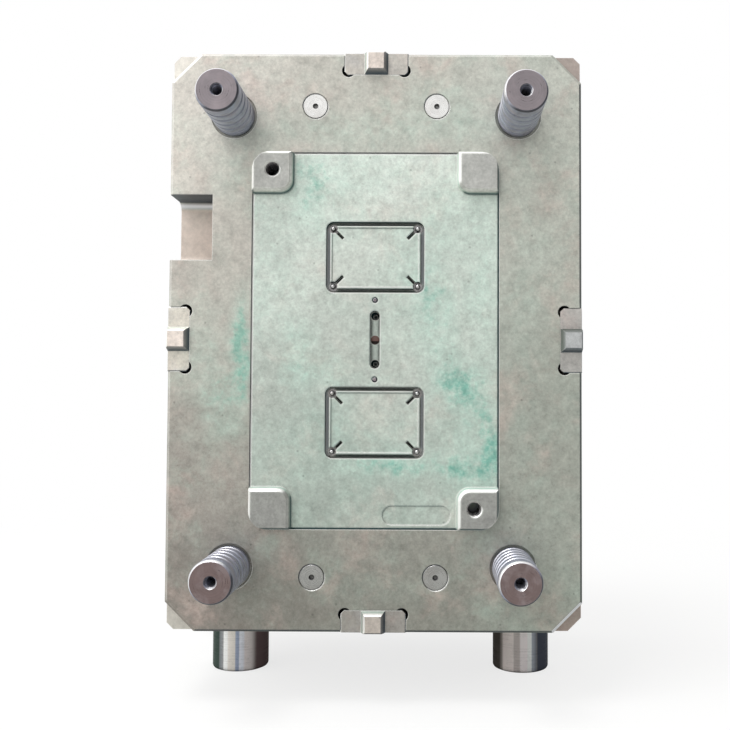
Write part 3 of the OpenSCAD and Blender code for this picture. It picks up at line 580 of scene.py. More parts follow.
        # Near-black painted shade on steep walls below the face
        steep = r.span(r.facing()[1], -0.6, -0.35, 0.0, 0.92)
        wall = r.times(steep, r.span(r.behind, 0, 0.25))
        r.lay(wall, "#141C1E")
        return r.sum(r.times(tight, r.span(beside, 0.0, 1.0, 1.0, 0.2)), wall, "MAXIMUM")

    def edges(self, r: Recipe, dull: Socket) -> None:
        """Paints light and shade on edges and slopes: painted highlights up or to the left, painted
        shade opposite.

        Args:
            r: the material being made.
            dull: painted shade on proud faces at the mould's right.
        """
        rounded = r.rounded(self.edge)
        towards = r.dot(rounded, UP_LEFT)
        shaded = r.span(towards, -0.18, -0.45)
        highlight_side = r.span(towards, 0.12, 0.36, 0.0, 1.0, True)
        near = r.span(r.behind, 1.8, 1.2)
        outline = self.outline(r)

        # Painted shade on edges that look down or to the right, at the face and in corners; the
        # upper end of proud slopes gets less of it and painted light instead
        closed = r.sum(near, r.rest(r.corners(30, 0.0, 0.72, 0.94)), "MAXIMUM")
        upper = r.times(r.span(r.behind, -2.4, -3.2), shaded)
        r.shade(r.span(upper, 0.0, 1.0, 1.0, self.slope_light))
        foot = r.span(r.behind, -3.6, -1.2, self.slope_shade, 1.0)
        shade_amount = r.times(r.span(shaded, 0.0, 1.0, 0.0, 0.94, True), closed, foot)
        r.lay(r.times(shade_amount, self.shade_share), self.shade_colour)
        if self.grooved:
            r.lay(r.times(outline, shaded, r.span(r.behind, 0, -1), 0.85), self.shade_colour)

        # Painted highlights on edges that look up or to the left: brightest at the face, painted
        # shade in their place on proud faces at the right, film colour on proud slopes
        raised = r.times(highlight_side, r.span(r.behind, -0.2, -0.6))
        r.lay(r.times(raised, dull), "#545C58")
        highlight_side = r.times(highlight_side, r.rest(dull))
        slope = r.times(r.span(r.behind, 0, -0.8), r.span(r.behind, -3.8, -1.8))
        r.lay(r.times(highlight_side, slope, 0.7), self.film)
        outer = r.span(outline, 0.0, 1.0, 1.0, self.outer_highlight)
        r.lay(r.times(highlight_side, outer, near, r.span(slope, 0.0, 1.0, 0.94, 0.12)), "#FAFAF7")
        worn = r.times(r.worn_edges(rounded), r.span(r.behind, 2, 4, 0.15, 0.6))
        r.lay(worn, "#E2E0D8")

    def outline(self, r: Recipe) -> Socket:
        """Marks the plate's outer edge.

        Args:
            r: the material being made.

        Returns:
            Socket that is 1 along the outline, and 0 further than 2 mm inside it.
        """
        wide, high = (size - 2 for size in self.half_sizes)
        across = r.span(r.size(r.right), wide, wide + 1)
        return r.sum(across, r.span(r.size(r.above), high, high + 1), "MAXIMUM")

    def cut_light_and_tone(self, r: Recipe) -> None:
        """Paints light and shade on cuts: painted highlights on the pry recesses' bevels and the
        notch's fillets, painted shade on the notch's ceiling, and the tone of milled floors.

        Args:
            r: the material being made.
        """
        across, along, up = r.facing()
        corner = r.span(r.size(r.right), 102, 104)
        shallow = r.span(r.behind, 40, 34)

        # Painted shade on the ceiling of the notch in the left side
        notch = r.times(r.span(r.right, -96, -98), r.span(r.above, 30, 40), shallow)
        ceiling = r.times(r.span(up, -0.93, -0.98), r.span(r.behind, 0.3, 0.8), notch)
        r.lay(r.times(ceiling, 0.92), "#3E4853")

        # Milled floors of the pry recesses and side lock pockets, warm under thin oil, with painted
        # light at the left and painted shade at the right
        recess = r.blend(r.span(r.right, -50, 50), "#EAE5DD", "#A98F8A")
        milled = r.blend(r.span(r.size(r.above), 130, 140), "#D8C4B9", recess)
        milled = r.scaled(milled, r.span(r.noise(5, 8.0, 5.0, 0.75), 0.36, 0.64, 0.84, 1.12))
        floor = r.times(r.span(along, -0.9, -0.98), r.span(r.behind, 4, 5), shallow, corner)
        r.lay(r.times(floor, 0.6), milled)

        # Painted highlights on the bevels behind the pry recesses and on the fillets down in the
        # notch
        diagonal = r.span(r.times(across, up), -0.12, -0.2)
        bevel = r.times(diagonal, corner, r.span(along, -0.3, -0.5))
        inside = r.times(r.span(r.behind, 16, 18), r.span(along, -0.35, -0.7))
        fillet = r.times(inside, r.span(up, -0.3, -0.6))
        r.lay(r.sum(r.times(bevel, 0.9), r.times(fillet, 0.75), "MAXIMUM"), "#F3F3FA")


@dataclass(frozen=True)
class Band:
    """A lengthwise band on a turned piece: light bands are painted reflections, dark ones are
    painted shade.

    Args:
        angle: where it lies, in degrees round the piece's own turning.
        width: half its width in degrees.
        colour: sRGB hex colour.
        strength: share of that colour in its middle.
        matt: whether it hides the steel's gloss.
    """

    angle: float
    width: float
    colour: str
    strength: float
    matt: bool = False


@dataclass(frozen=True)
class TurnedSteel:
    """Steel turned or cylindrically ground, with fine rings that follow its axis.

    The rings come from the piece's own turning attribute, so they run round shafts and make
    circles on end faces. End faces are turned only and have their own tone, and painted shade
    darkens grooves and the rim.

    Args:
        name: the material's name.
        pale: lightest tone of the rings.
        dark: darkest tone of the rings.
        blush: thin patches of discoloured steel.
        end: end faces.
        metallic: metallic share.
        roughness: roughness.
        ring: width of one ring in mm.
        bands: lengthwise bands of painted reflection and painted shade.
        fade: painted shade, how much darker it is at the mould's bottom.
        faced: whether it has a guide pin's tip.
        end_rust: rust on end faces at the mould's bottom.
    """

    name: str
    pale: str
    dark: str
    blush: str
    end: str
    metallic: float = 0.85
    roughness: float = 0.3
    ring: float = 0.5
    bands: tuple[Band, ...] = ()
    fade: float = 0.0
    faced: bool = True
    end_rust: float = 0.0

    def build(self) -> bpy.types.Material:
        """Makes the material.

        Returns:
            The finished material.
        """
        r = Recipe(self.name)
        spun = add(r.tree, "ShaderNodeAttribute", attribute_name=Turned.ATTRIBUTE)
        turning = spun.outputs["Vector"]
        fine = 0.6 * self.ring * MM  # a ring keeps its tone most of the way round
        stretched = add(r.tree, "ShaderNodeMapping", {
            "Vector": turning, "Scale": (fine, fine, 1.0)})
        rings = r.noise(self.ring, 1.0, 3.0, 0.65, vector=stretched.outputs[0])
        both = r.sum(rings, r.noise(8, 2.0))
        r.colour = r.blend(r.span(both, 0.74, 1.26), self.dark, self.pale)
        slant = r.facing()[1]
        end = r.blend(r.span(r.above, 80, -120, 0.0, self.end_rust), self.end, "#6E5550")
        r.lay(r.span(slant, -0.9, -0.98), r.scaled(end, r.span(both, 0.74, 1.26, 0.86, 1.12)))
        r.lay(r.span(r.noise(11, 3.0, 5.0, 0.6, 0.4), 0.48, 0.7, 0.0, 0.6), self.blush)
        clear = [self.lay_band(r, turning, band) for band in self.bands]
        # Painted shade where surfaces close in
        r.shade(r.corners(3, 0.25))
        if self.faced:
            self.tip(r, slant)
        rough = r.span(both, 0.7, 1.3, self.roughness - 0.06, self.roughness + 0.12)
        shine = [share for share in clear if share]
        if not shine:
            return r.finish(self.metallic, rough, rings, 0.04)
        return r.finish(r.times(*shine, self.metallic), rough, rings, 0.04, r.times(*shine, 0.5))

    def lay_band(self, r: Recipe, turning: Socket, band: Band) -> Socket | None:
        """Lays one band along the piece.

        Args:
            r: the material being made.
            turning: place on the piece's own turning.
            band: the band.

        Returns:
            Socket with the gloss that a matt band leaves, or None.
        """
        turn = math.radians(band.angle)
        toward = r.dot(turning, (math.cos(turn), math.sin(turn), 0))
        outer, inner = (math.cos(math.radians(band.width * f)) for f in (1.25, 0.8))
        share = r.span(toward, outer, inner, 0.0, band.strength, True)
        # The band's colour: a painted reflection where it is light, painted shade where it is dark
        r.lay(share, band.colour)
        return r.span(share, 0.0, 0.9, 1.0, 0.04) if band.matt else None

    def tip(self, r: Recipe, slant: Socket) -> None:
        """Paints a painted highlight up or to the left and painted shade down to the right on the
        tip's bevel, and painted shade lower down on the piece.

        Args:
            r: the material being made.
            slant: how far the surface looks to the rear, from -1 to 1.
        """
        # Bevels between tip and face are the oil grooves', and fainter
        groove = r.times(r.span(r.behind, -45.2, -44.8), r.span(r.behind, -2, -4))
        bevel = r.times(r.span(slant, -0.2, -0.4), r.span(slant, -0.8, -0.7),
                        r.span(groove, 0.0, 1.0, 1.0, 0.42))
        towards = r.dot(r.normal(), UP_LEFT)
        # Painted highlight on the bevel where it looks up or to the left, painted shade opposite
        r.lay(r.times(bevel, r.span(towards, 0.1, 0.4, 0.0, 0.9)), "#F4F2F3")
        r.lay(r.times(bevel, r.span(towards, 0.0, -0.35, 0.0, 0.85)), "#2E2B2E")
        # Painted shade: darker lower down on the mould
        r.shade(r.span(r.above, -120, 130, 1.0 - self.fade, 1.0))


@dataclass(frozen=True)
class SmallPart:
    """Finish of a small turned, plated or lacquered part, mottled by handling."""

    name: str
    pale: str
    dark: str
    metallic: float
    roughness: float
    mottle: float = 2.5

    def build(self) -> bpy.types.Material:
        """Makes the material.

        Returns:
            The finished material.
        """
        r = Recipe(self.name)
        noise = r.noise(self.mottle, 1.0, 6.0, 0.7)
        r.colour = r.blend(r.span(noise, 0.35, 0.68), self.dark, self.pale)
        # Painted shade where surfaces close in
        r.shade(r.corners(2, 0.35))
        r.lay(r.times(r.worn_edges(r.rounded(0.25)), 0.3), "#B9B8B4")
        rough = r.span(noise, 0.3, 0.7, self.roughness - 0.08, self.roughness + 0.1)
        return r.finish(self.metallic, rough, noise, 0.03)


# Angles on a foot: 0 is left, 90 the front, 180 right
# Painted reflections (light bands) and painted shade (dark matt bands) round each foot
LEFT_FOOT_LIGHT_BANDS = (
    Band(22, 34, "#30413B", 0.97, True), Band(60, 7, "#7E8388", 0.8), Band(70, 6, "#FFFFFF", 0.97),
    Band(83, 9, "#EFE8E1", 0.9), Band(94, 4, "#98A6C6", 0.85), Band(104, 6, "#F0F3FF", 0.97),
    Band(119, 11, "#F2E9EA", 0.95), Band(164, 34, "#6E5A5D", 0.97, True),
)
RIGHT_FOOT_LIGHT_BANDS = (
    Band(8, 34, "#4A443F", 0.97, True), Band(46, 6, "#9A908B", 0.8), Band(59, 13, "#FFF3F0", 0.95),
    Band(78, 7, "#CFC4C2", 0.9), Band(92, 8, "#FFF6F8", 0.95), Band(104, 5, "#FFFFFF", 0.97),
    Band(113, 5, "#A2A9B8", 0.85), Band(151, 33, "#3E4352", 0.97, True),
)


@dataclass
class Finishes:
    """All materials of the mould: one for each slot of the record, and four pieces' own."""

    made: dict[Slot, bpy.types.Material] = field(default_factory=dict)
    feet: dict[str, bpy.types.Material] = field(default_factory=dict)
    return_pin: bpy.types.Material | None = None
    puller: bpy.types.Material | None = None

    def build(self) -> "Finishes":
        """Makes each material once.

        Returns:
            This object, filled.
        """
        recipes = {
            # Ground mould plate: satin grey, a little warm, under thin oil
            Slot.PLATE: GroundSteel(
                "ground_steel_plate", "#C5C0B8", "#88817B", "#C9B1A9", "#ADBAAF", "#AFC7BB",
                "#7FAE9F", "#B9B5AC", "#3E4750", 0.26, PLATE_STAINS, shade_share=0.8, left_light=1.1,
                outer_highlight=0.15),
            # Ground tool steel: paler, clouded green and dulled by the spray
            Slot.INSERT: GroundSteel(
                "ground_steel_insert", "#DDE0D9", "#979F98", "#DACFC7", "#C9DBD0", "#B5D5C8",
                "#65A697", "#B6B6B2", "#2F5055", 0.32, INSERT_STAINS, grooved=True, edge=1.5,
                metallic=0.5, half_sizes=(75.0, 114.0)),
            # Hardened and ground locks: hardly any film, crisp edges
            Slot.LOCK: GroundSteel(
                "ground_steel_lock", "#C9C2B8", "#9C968E", "#C9AFA8", "#ABACB2", "#A9BFB4",
                "#6F9C92", "#D6CBC3", "#46535E", 0.2, edge=0.6, left_light=1.35, bare_low_shade=0.8,
                slope_shade=0.75, slope_light=1.0, right_shade=0.9),
            # Hardened pins, ground on their length: bluish sheen, dull turned ends
            Slot.PIN: TurnedSteel(
                "ground_pin_steel", "#C2C6D8", "#84889A", "#A3979B", "#8B8387", 0.6, 0.3, 0.6,
                end_rust=0.65),
            # Bright turned bar: clear reflections with fine rings
            Slot.BRIGHT: TurnedSteel(
                "bright_turned_steel", "#DEDEDD", "#9A9B9E", "#B9AEAA", "#C9C7C6", 0.9, 0.22, 0.4),
            # Black oxide on screws: soft dark sheen, paler on handled edges
            Slot.OXIDE: SmallPart("black_oxide_steel", "#3A3B3E", "#1D1E20", 0.6, 0.42),
            # Turned bronze and brass: warm metal sheen, bronze browner than brass
            Slot.BRONZE: SmallPart("turned_bronze", "#BC9150", "#8A6432", 0.9, 0.32),
            Slot.BRASS: SmallPart("turned_brass", "#CDA95C", "#9A7B39", 0.9, 0.28),
            # Lacquered spring wire: even colour under a smooth gloss
            Slot.SPRING: SmallPart("blue_lacquered_spring", "#3568A8", "#1F4478", 0.0, 0.35),
        }
        for slot, recipe in recipes.items():
            self.made[slot] = recipe.build()
        # Bright feet: light and dark bands round them are painted reflections and painted shade
        for side, bands in (("left", LEFT_FOOT_LIGHT_BANDS), ("right", RIGHT_FOOT_LIGHT_BANDS)):
            self.feet["foot_" + side] = TurnedSteel(
                f"bright_steel_{side}_foot", "#F2EEEC", "#CCC8C6", "#D0C8C5", "#C9C7C6",
                0.12, 0.26, 0.4, bands, faced=False).build()
        # Return pins: ends rubbed bright on the other half, with painted shade lower down
        self.return_pin = TurnedSteel(
            "ground_return_pin", "#E9E8E6", "#CBCAC8", "#D8D2CE", "#EAE9E7", 0.7, 0.24, 0.5,
            fade=0.55).build()
        # Sprue puller: brown with rust, because water condenses on it
        self.puller = TurnedSteel(
            "rust_stained_puller", "#8F7F7A", "#4E3B37", "#7C3B32", "#76605A", 0.4, 0.4,
            0.8).build()
        return self

    def dress_nodes(self, frame: dict) -> None:
        """Gives every CAD node the material of its record slot.
        """
        slots = {row["node"]: row["material_slot"] for row in frame["record"]["subparts"]}
        for name, node in frame["nodes"].items():
            node.data.materials.clear()
            stained = name == "sprue_puller"
            node.data.materials.append(self.puller if stained else self.made[Slot(slots[name])])


@dataclass(frozen=True)
class Solid:
    """Box of one solid of a CAD node, in metres."""

    low: Vector
    high: Vector

    @property
    def centre(self) -> Vector:
        """Middle of the box."""
        return (self.low + self.high) / 2

    @property
    def size(self) -> Vector:
        """Lengths of the box's sides in mm."""
        return (self.high - self.low) / MM


def solids_of(node: bpy.types.Object) -> list[Solid]:
    """Finds the separate solids of a CAD node, such as each screw of a set.

    Args:
        node: the CAD node's object.

    Returns:
        Box of each solid.
    """
    bm = bmesh.new()
    bm.from_mesh(node.data)
    bmesh.ops.remove_doubles(bm, verts=bm.verts, dist=1e-6)
    left, found = set(bm.verts), []
    while left:
        group, rim = set(), [left.pop()]
        while rim:
            vert = rim.pop()
            group.add(vert)
            near = {edge.other_vert(vert) for edge in vert.link_edges} & left
            left -= near
            rim.extend(near)
        places = [node.matrix_world @ v.co for v in group]
        found.append(Solid(Vector(min(p[i] for p in places) for i in range(3)),
                           Vector(max(p[i] for p in places) for i in range(3))))
    bm.free()
    return sorted(found, key=lambda s: (round(s.centre.z, 4), round(s.centre.x, 4)))


@dataclass(frozen=True)
class Ring:
    """One cross-section of a turned piece.

    Args:
        radius: its radius, or half the distance across the flats of a hexagon.
        at: its place along the axis.
        shape: its cross-section.
        ridge: height of a thread's ridge for a place along the axis and an angle round it.
    """

    radius: float
    at: float
    shape: Shape = Shape.ROUND
    ridge: Callable[[float, float], float] | None = None

    def reach(self, turn: float, index: int) -> float:
        """Distance of the ring's surface from the axis.

        Args:
            turn: angle round the axis in radians.
            index: number of the point round the axis.

        Returns:
            The distance in mm.
        """
        if self.ridge:
            return self.radius - self.ridge(self.at, turn)
        if self.shape is Shape.HEX:
            sixth = math.pi / 3
            return self.radius / math.cos((turn + sixth / 2) % sixth - sixth / 2)
        if self.shape is Shape.KNURL:
            return self.radius * (1 - KNURL_DEPTH * (index % 2))
        return self.radius


@dataclass
class Turned:
    """A turned solid: rings along an axis, joined by their surfaces.

    Args:
        rings: cross-sections in order along the outline.
        steps: number of points round the axis.
        closed: joins the last ring to the first, for a solid with a hole right through.
    """

    ATTRIBUTE = "turning"
    TOUCHING = 1e-7  # metres between points that are one

    rings: list[Ring]
    steps: int = 72
    closed: bool = False

    def into(self, bm: bmesh.types.BMesh, origin: Vector, axis: Axis) -> None:
        """Spins the outline in a mesh and notes each point's place on the turning.

        Args:
            bm: mesh that takes the solid.
            origin: where distance 0 lies on the axis, in metres.
            axis: direction in which distances grow.
        """
        layer = bm.verts.layers.float_vector.get(self.ATTRIBUTE)
        layer = layer or bm.verts.layers.float_vector.new(self.ATTRIBUTE)
        others, outline, lengths = set(bm.verts), [], [0.0]
        for number, ring in enumerate(self.rings):
            outline.append(bm.verts.new((ring.radius * MM, 0, ring.at * MM)))
            outline[-1][layer] = (number, 0, 0)
        for ring, after in zip(self.rings, self.rings[1:]):
            way = math.hypot(after.radius - ring.radius, after.at - ring.at)
            lengths.append(lengths[-1] + way * MM)
        ends = outline[1:] + outline[:1] if self.closed else outline[1:]
        edges = [bm.edges.new(pair) for pair in zip(outline, ends)]
        bmesh.ops.spin(bm, geom=outline + edges, axis=(0, 0, 1), angle=math.tau, steps=self.steps,
                       use_merge=True)

        # Each point takes its ring's shape, and those on the axis become one
        place = Matrix.Translation(origin) @ axis.matrix()
        spun = [vert for vert in bm.verts if vert not in others]
        middle = []
        for vert in spun:
            number = round(vert[layer].x)
            ring = self.rings[number]
            index = round(math.atan2(vert.co.y, vert.co.x) / math.tau * self.steps) % self.steps
            turn = math.tau * index / self.steps
            away = ring.reach(turn, index) * MM
            across, up = math.cos(turn), math.sin(turn)
            vert.co = place @ Vector((away * across, away * up, ring.at * MM))
            vert[layer] = (across, up, lengths[number]) if ring.radius else (0, 0, lengths[number])
            if not ring.radius:
                middle.append(vert)
        bmesh.ops.remove_doubles(bm, verts=middle, dist=self.TOUCHING)
        faces = {face for vert in spun if vert.is_valid for face in vert.link_faces}
        bmesh.ops.recalc_face_normals(bm, faces=list(faces))


@dataclass(frozen=True)
class Thread:
    """Internal thread: a thin lining of a tapped hole, with a helical ridge.

    Args:
        drill: diameter of the tapping drill.
        pitch: distance from one ridge to the next.
        depth: length of the thread.
        steps: number of points round the axis.
        rows_per_pitch: number of cross-sections from one ridge to the next.
        wall: thickness of the lining.
    """

    drill: float
    pitch: float
    depth: float
    steps: int = 40
    rows_per_pitch: int = 5
    wall: float = 0.04

    def ridge(self, distance: float, turn: float) -> float:
        """Height of the ridge, which fades at both ends.

        Args:
            distance: distance from the hole's mouth in mm.
            turn: angle round the axis in radians.

        Returns:
            The height in mm.
        """
        phase = (distance / self.pitch - turn / math.tau) % 1
        fade = min(1.0, distance / self.pitch, (self.depth - distance) / self.pitch)
        return 0.42 * self.pitch * (1 - abs(2 * phase - 1)) * max(0.0, fade)

    def lining(self) -> Turned:
        """The lining's outline, from the hole's mouth inwards and back outside.

        Returns:
            Turned solid whose distance 0 is the thread's mouth.
        """
        outer = self.drill / 2 - self.wall / 4
        count = max(2, round(self.depth / self.pitch * self.rows_per_pitch))
        rows = [Ring(outer - self.wall, self.depth * row / count, ridge=self.ridge)
                for row in range(count + 1)]
        return Turned([Ring(outer, 0), *rows, Ring(outer, self.depth)], self.steps, closed=True)


@dataclass
class Fitting:
    """A sub-assembly whose pieces are fitted over CAD nodes.

    Args:
        finishes: the materials.
    """

    frame: dict
    finishes: Finishes

    def solids(self, node: str) -> list[Solid]:
        """Boxes of a CAD node's solids."""
        return solids_of(self.frame["nodes"][node])

    def make(self, name: str, bm: bmesh.types.BMesh, slot: Slot, body: Body,
             replaces: str | None = None,
             finish: bpy.types.Material | None = None) -> bpy.types.Object:
        """Turns a finished bmesh into a named object that rides on its body.

        Args:
            name: the piece's name.
            bm: its mesh, which is freed.
            slot: material slot that it takes.
            body: body that it rides on.
            replaces: CAD node that it stands for.
            finish: its material, or None for the slot's own.

        Returns:
            The object.
        """
        mesh = bpy.data.meshes.new(name)
        bm.to_mesh(mesh)
        bm.free()
        mesh.materials.append(finish or self.finishes.made[slot])
        mesh.shade_smooth()
        mesh.set_sharp_from_angle(angle=math.radians(SHARP_EDGE))
        piece = placed(name, mesh)
        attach(piece, body.value)
        if replaces:
            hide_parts(replaces)
        LOG.info("%s: %d faces on %s", name, len(mesh.polygons), body.value)
        return piece


@dataclass
class GuidePins(Fitting):
    """The four guide pins, with oil grooves and an extraction thread in the end."""

    diameter: float = 25.0
    reach: float = 47.0
    head_diameter: float = 30.0
    head_thickness: float = 8.0
    tip_chamfer: float = 1.1
    tip_length: float = 1.8
    first_groove: float = 10.0
    groove_pitch: float = 8.0
    groove_width: float = 3.0
    groove_depth: float = 0.8
    thread: Thread = Thread(6.8, 1.25, 18.0)
    hole_depth: float = 20.0
    hole_mouth: float = 0.35
    nodes: tuple[str, ...] = ("guide_pin_top_left", "guide_pin_top_right", "guide_pin_bottom_left",
                              "guide_pin_bottom_right")

    def rings(self, length: float) -> list[Ring]:
        """Outline of a pin, from the floor of its thread round to the middle of its head.

        Args:
            length: whole length of the pin in mm.

        Returns:
            Rings with their distance from the tip.
        """
        r, tap, tip = self.diameter / 2, self.thread.drill / 2, self.tip_chamfer
        rings = [Ring(0, self.hole_depth + tap * 0.5), Ring(tap, self.hole_depth),
                 Ring(tap, self.hole_mouth), Ring(tap + self.hole_mouth, 0), Ring(r - tip, 0),
                 Ring(r - tip * 0.45, self.tip_length * 0.3), Ring(r, self.tip_length)]
        centre = self.first_groove
        while centre < self.reach - self.groove_width:
            half, deep = self.groove_width / 2, self.groove_depth
            rings += [Ring(r, centre - half), Ring(r - deep, centre - half + deep),
                      Ring(r - deep, centre + half - deep), Ring(r, centre + half)]
            centre += self.groove_pitch
        neck, head = length - self.head_thickness, self.head_diameter / 2
        return rings + [Ring(r, neck), Ring(head, neck), Ring(head, length), Ring(0, length)]

    def build(self) -> None:
        """Makes the pins in the places of their CAD nodes."""
        for node in self.nodes:
            low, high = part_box(node)
            centre = (low + high) / 2
            tip = Vector((centre.x, low.y, centre.z))
            bm = bmesh.new()
            Turned(self.rings((high.y - low.y) / MM), steps=96).into(bm, tip, Axis.REAR)
            mouth = tip + Vector((0, self.hole_mouth * MM, 0))
            self.thread.lining().into(bm, mouth, Axis.REAR)
            self.make(node + "_turned", bm, Slot.PIN, Body.HALF, node)


@dataclass
class ReturnPins(Fitting):
    """The four return pins, ground flush with the parting face, with a centre mark."""

    node: str = "return_pins"
    edge: float = 0.35
    mark: float = 1.7
    mark_depth: float = 2.8
    head_thickness: float = 8.0
    diameter: float = 15.0

    def build(self) -> None:
        """Makes the pins in the places of the CAD node's solids."""
        bm = bmesh.new()
        for pin in self.solids(self.node):
            length, head, r = pin.size.y, pin.size.x / 2, self.diameter / 2
            neck = length - self.head_thickness
            rings = [Ring(0, self.mark_depth), Ring(self.mark * 0.7, self.mark_depth * 0.8),
                     Ring(self.mark * 0.85, 0.4), Ring(self.mark, 0), Ring(r - self.edge, 0),
                     Ring(r, self.edge), Ring(r, neck), Ring(head, neck), Ring(head, length - 0.5),
                     Ring(head - 0.5, length), Ring(0, length)]
            tip = Vector((pin.centre.x, pin.low.y, pin.centre.z))
            Turned(rings, steps=80).into(bm, tip, Axis.REAR)
        self.make("return_pins_ground", bm, Slot.PIN, Body.EJECTOR, self.node,
                  self.finishes.return_pin)


@dataclass
class Feet(Fitting):
    """The two bright turned feet with their screw recess."""

    edge: float = 1.5
    screw_hole: float = 11.0
    recess: float = 16.0
    recess_depth: float = 14.0
    nodes: tuple[str, ...] = ("foot_left", "foot_right")

    def build(self) -> None:
        """Makes the feet in the places of their CAD nodes."""
        for node in self.nodes:
            low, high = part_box(node)
            centre, height = (low + high) / 2, (high.z - low.z) / MM
            r, e = (high.x - low.x) / 2 / MM, self.edge
            rings = [Ring(self.recess / 2, 0), Ring(r - e, 0), Ring(r - e * 0.4, e * 0.25),
                     Ring(r - e * 0.1, e * 0.7), Ring(r, e * 1.1), Ring(r, height - e),
                     Ring(r - e, height), Ring(self.screw_hole / 2, height),
                     Ring(self.screw_hole / 2, self.recess_depth),
                     Ring(self.recess / 2, self.recess_depth)]
            bm = bmesh.new()
            solid = Turned(rings, steps=96, closed=True)
            solid.into(bm, Vector((centre.x, centre.y, low.z)), Axis.UP)
            finish = self.finishes.feet[node]
            self.make(node + "_turned", bm, Slot.BRIGHT, Body.HALF, node, finish)


@dataclass(frozen=True)
class ScrewSet:
    """Socket head screws of one CAD node.

    Args:
        node: the CAD node.
        body: body that it belongs to.
        axis: direction from the tips to the heads, or None where heads face away from the mould.
    """

    node: str
    body: Body
    axis: Axis | None


@dataclass
class SocketScrews(Fitting):
    """All socket head cap screws: black oxide, knurled heads and hexagon sockets."""

    head_ratio: float = 1.5
    sets: tuple[ScrewSet, ...] = (
        ScrewSet("clamp_screws", Body.HALF, Axis.REAR),
        ScrewSet("pillar_screws", Body.HALF, Axis.REAR),
        ScrewSet("insert_screws", Body.HALF, Axis.REAR),
        ScrewSet("side_lock_screws", Body.HALF, None),
        ScrewSet("foot_screws", Body.HALF, Axis.DOWN),
        ScrewSet("ejector_plate_screws", Body.EJECTOR, Axis.REAR),
    )

    def rings(self, d: float, length: float) -> list[Ring]:
        """Outline of a screw from its tip to the floor of its socket.

        Args:
            d: diameter of its shank.
            length: whole length with its head.

        Returns:
            Rings with their distance from the tip.
        """
        head, bevel, flat = self.head_ratio * d / 2, d / 10, 0.433 * d
        neck, top = length - d, length
        return [Ring(0, 0), Ring(d / 2 - bevel, 0), Ring(d / 2, bevel), Ring(d / 2, neck),
                Ring(head * 0.96, neck), Ring(head, neck + bevel, Shape.KNURL),
                Ring(head, top - 3 * bevel, Shape.KNURL), Ring(head * 0.975, top - 2.6 * bevel),
                Ring(head * 0.975, top - bevel), Ring(head - 1.2 * bevel, top),
                Ring(flat * HEX_CORNER + 0.25, top), Ring(flat, top - 0.35, Shape.HEX),
                Ring(flat, top - d / 2, Shape.HEX), Ring(0, top - d / 2 - flat * 0.5)]

    def outward(self, screw: Solid) -> Axis:
        """Direction away from the mould's middle along a screw's length.

        Args:
            screw: the screw's box.

        Returns:
            That direction.
        """
        if screw.size.x > screw.size.z:
            return Axis.RIGHT if screw.centre.x > 0 else Axis.LEFT
        return Axis.UP if screw.centre.z > CENTRE_Z * MM else Axis.DOWN

    def build(self) -> None:
        """Makes each set in the places of its CAD node's solids."""
        for group in self.sets:
            bm = bmesh.new()
            for screw in self.solids(group.node):
                axis = group.axis or self.outward(screw)
                length = max(screw.size)
                d = min(screw.size) / self.head_ratio
                tip = screw.centre - Vector(axis.value) * length / 2 * MM
                Turned(self.rings(d, length)).into(bm, tip, axis)
            self.make(group.node + "_knurled", bm, Slot.OXIDE, group.body, group.node)


@dataclass
class SetScrews(Fitting):
    """Plugs without heads: set screws behind the core pins, and brass plugs in the water ports."""

    bevel: float = 0.6

    def rings(self, d: float, length: float, flat: float, socket: float) -> list[Ring]:
        """Outline of a plug from its inner end to the floor of its socket.

        Args:
            d: diameter.
            length: length.
            flat: half the distance across the socket's flats.
            socket: depth of the socket.

        Returns:
            Rings with their distance from the inner end.
        """
        r, bevel = d / 2, self.bevel
        return [Ring(0, 0), Ring(r - bevel, 0), Ring(r, bevel), Ring(r, length - bevel),
                Ring(r - bevel, length), Ring(flat * HEX_CORNER + 0.3, length),
                Ring(flat, length - 0.4, Shape.HEX), Ring(flat, length - socket, Shape.HEX),
                Ring(0, length - socket - flat * 0.5)]

    def build(self) -> None:
        """Makes the plugs in the places of their CAD nodes' solids."""
        bm = bmesh.new()
        for plug in self.solids("core_pin_plugs"):
            d, length = plug.size.x, plug.size.y
            place = Vector((plug.centre.x, plug.low.y, plug.centre.z))
            Turned(self.rings(d, length, d * 0.22, length / 2)).into(bm, place, Axis.REAR)
        self.make("core_pin_set_screws", bm, Slot.OXIDE, Body.HALF, "core_pin_plugs")
        bm = bmesh.new()
        for plug in self.solids("water_plugs"):
            d, length = plug.size.x, plug.size.z
            place = Vector((plug.centre.x, plug.centre.y, plug.low.z))
            Turned(self.rings(d, length, 2.6, 5.0)).into(bm, place, Axis.UP)
        self.make("brass_water_plugs", bm, Slot.BRASS, Body.HALF, "water_plugs")


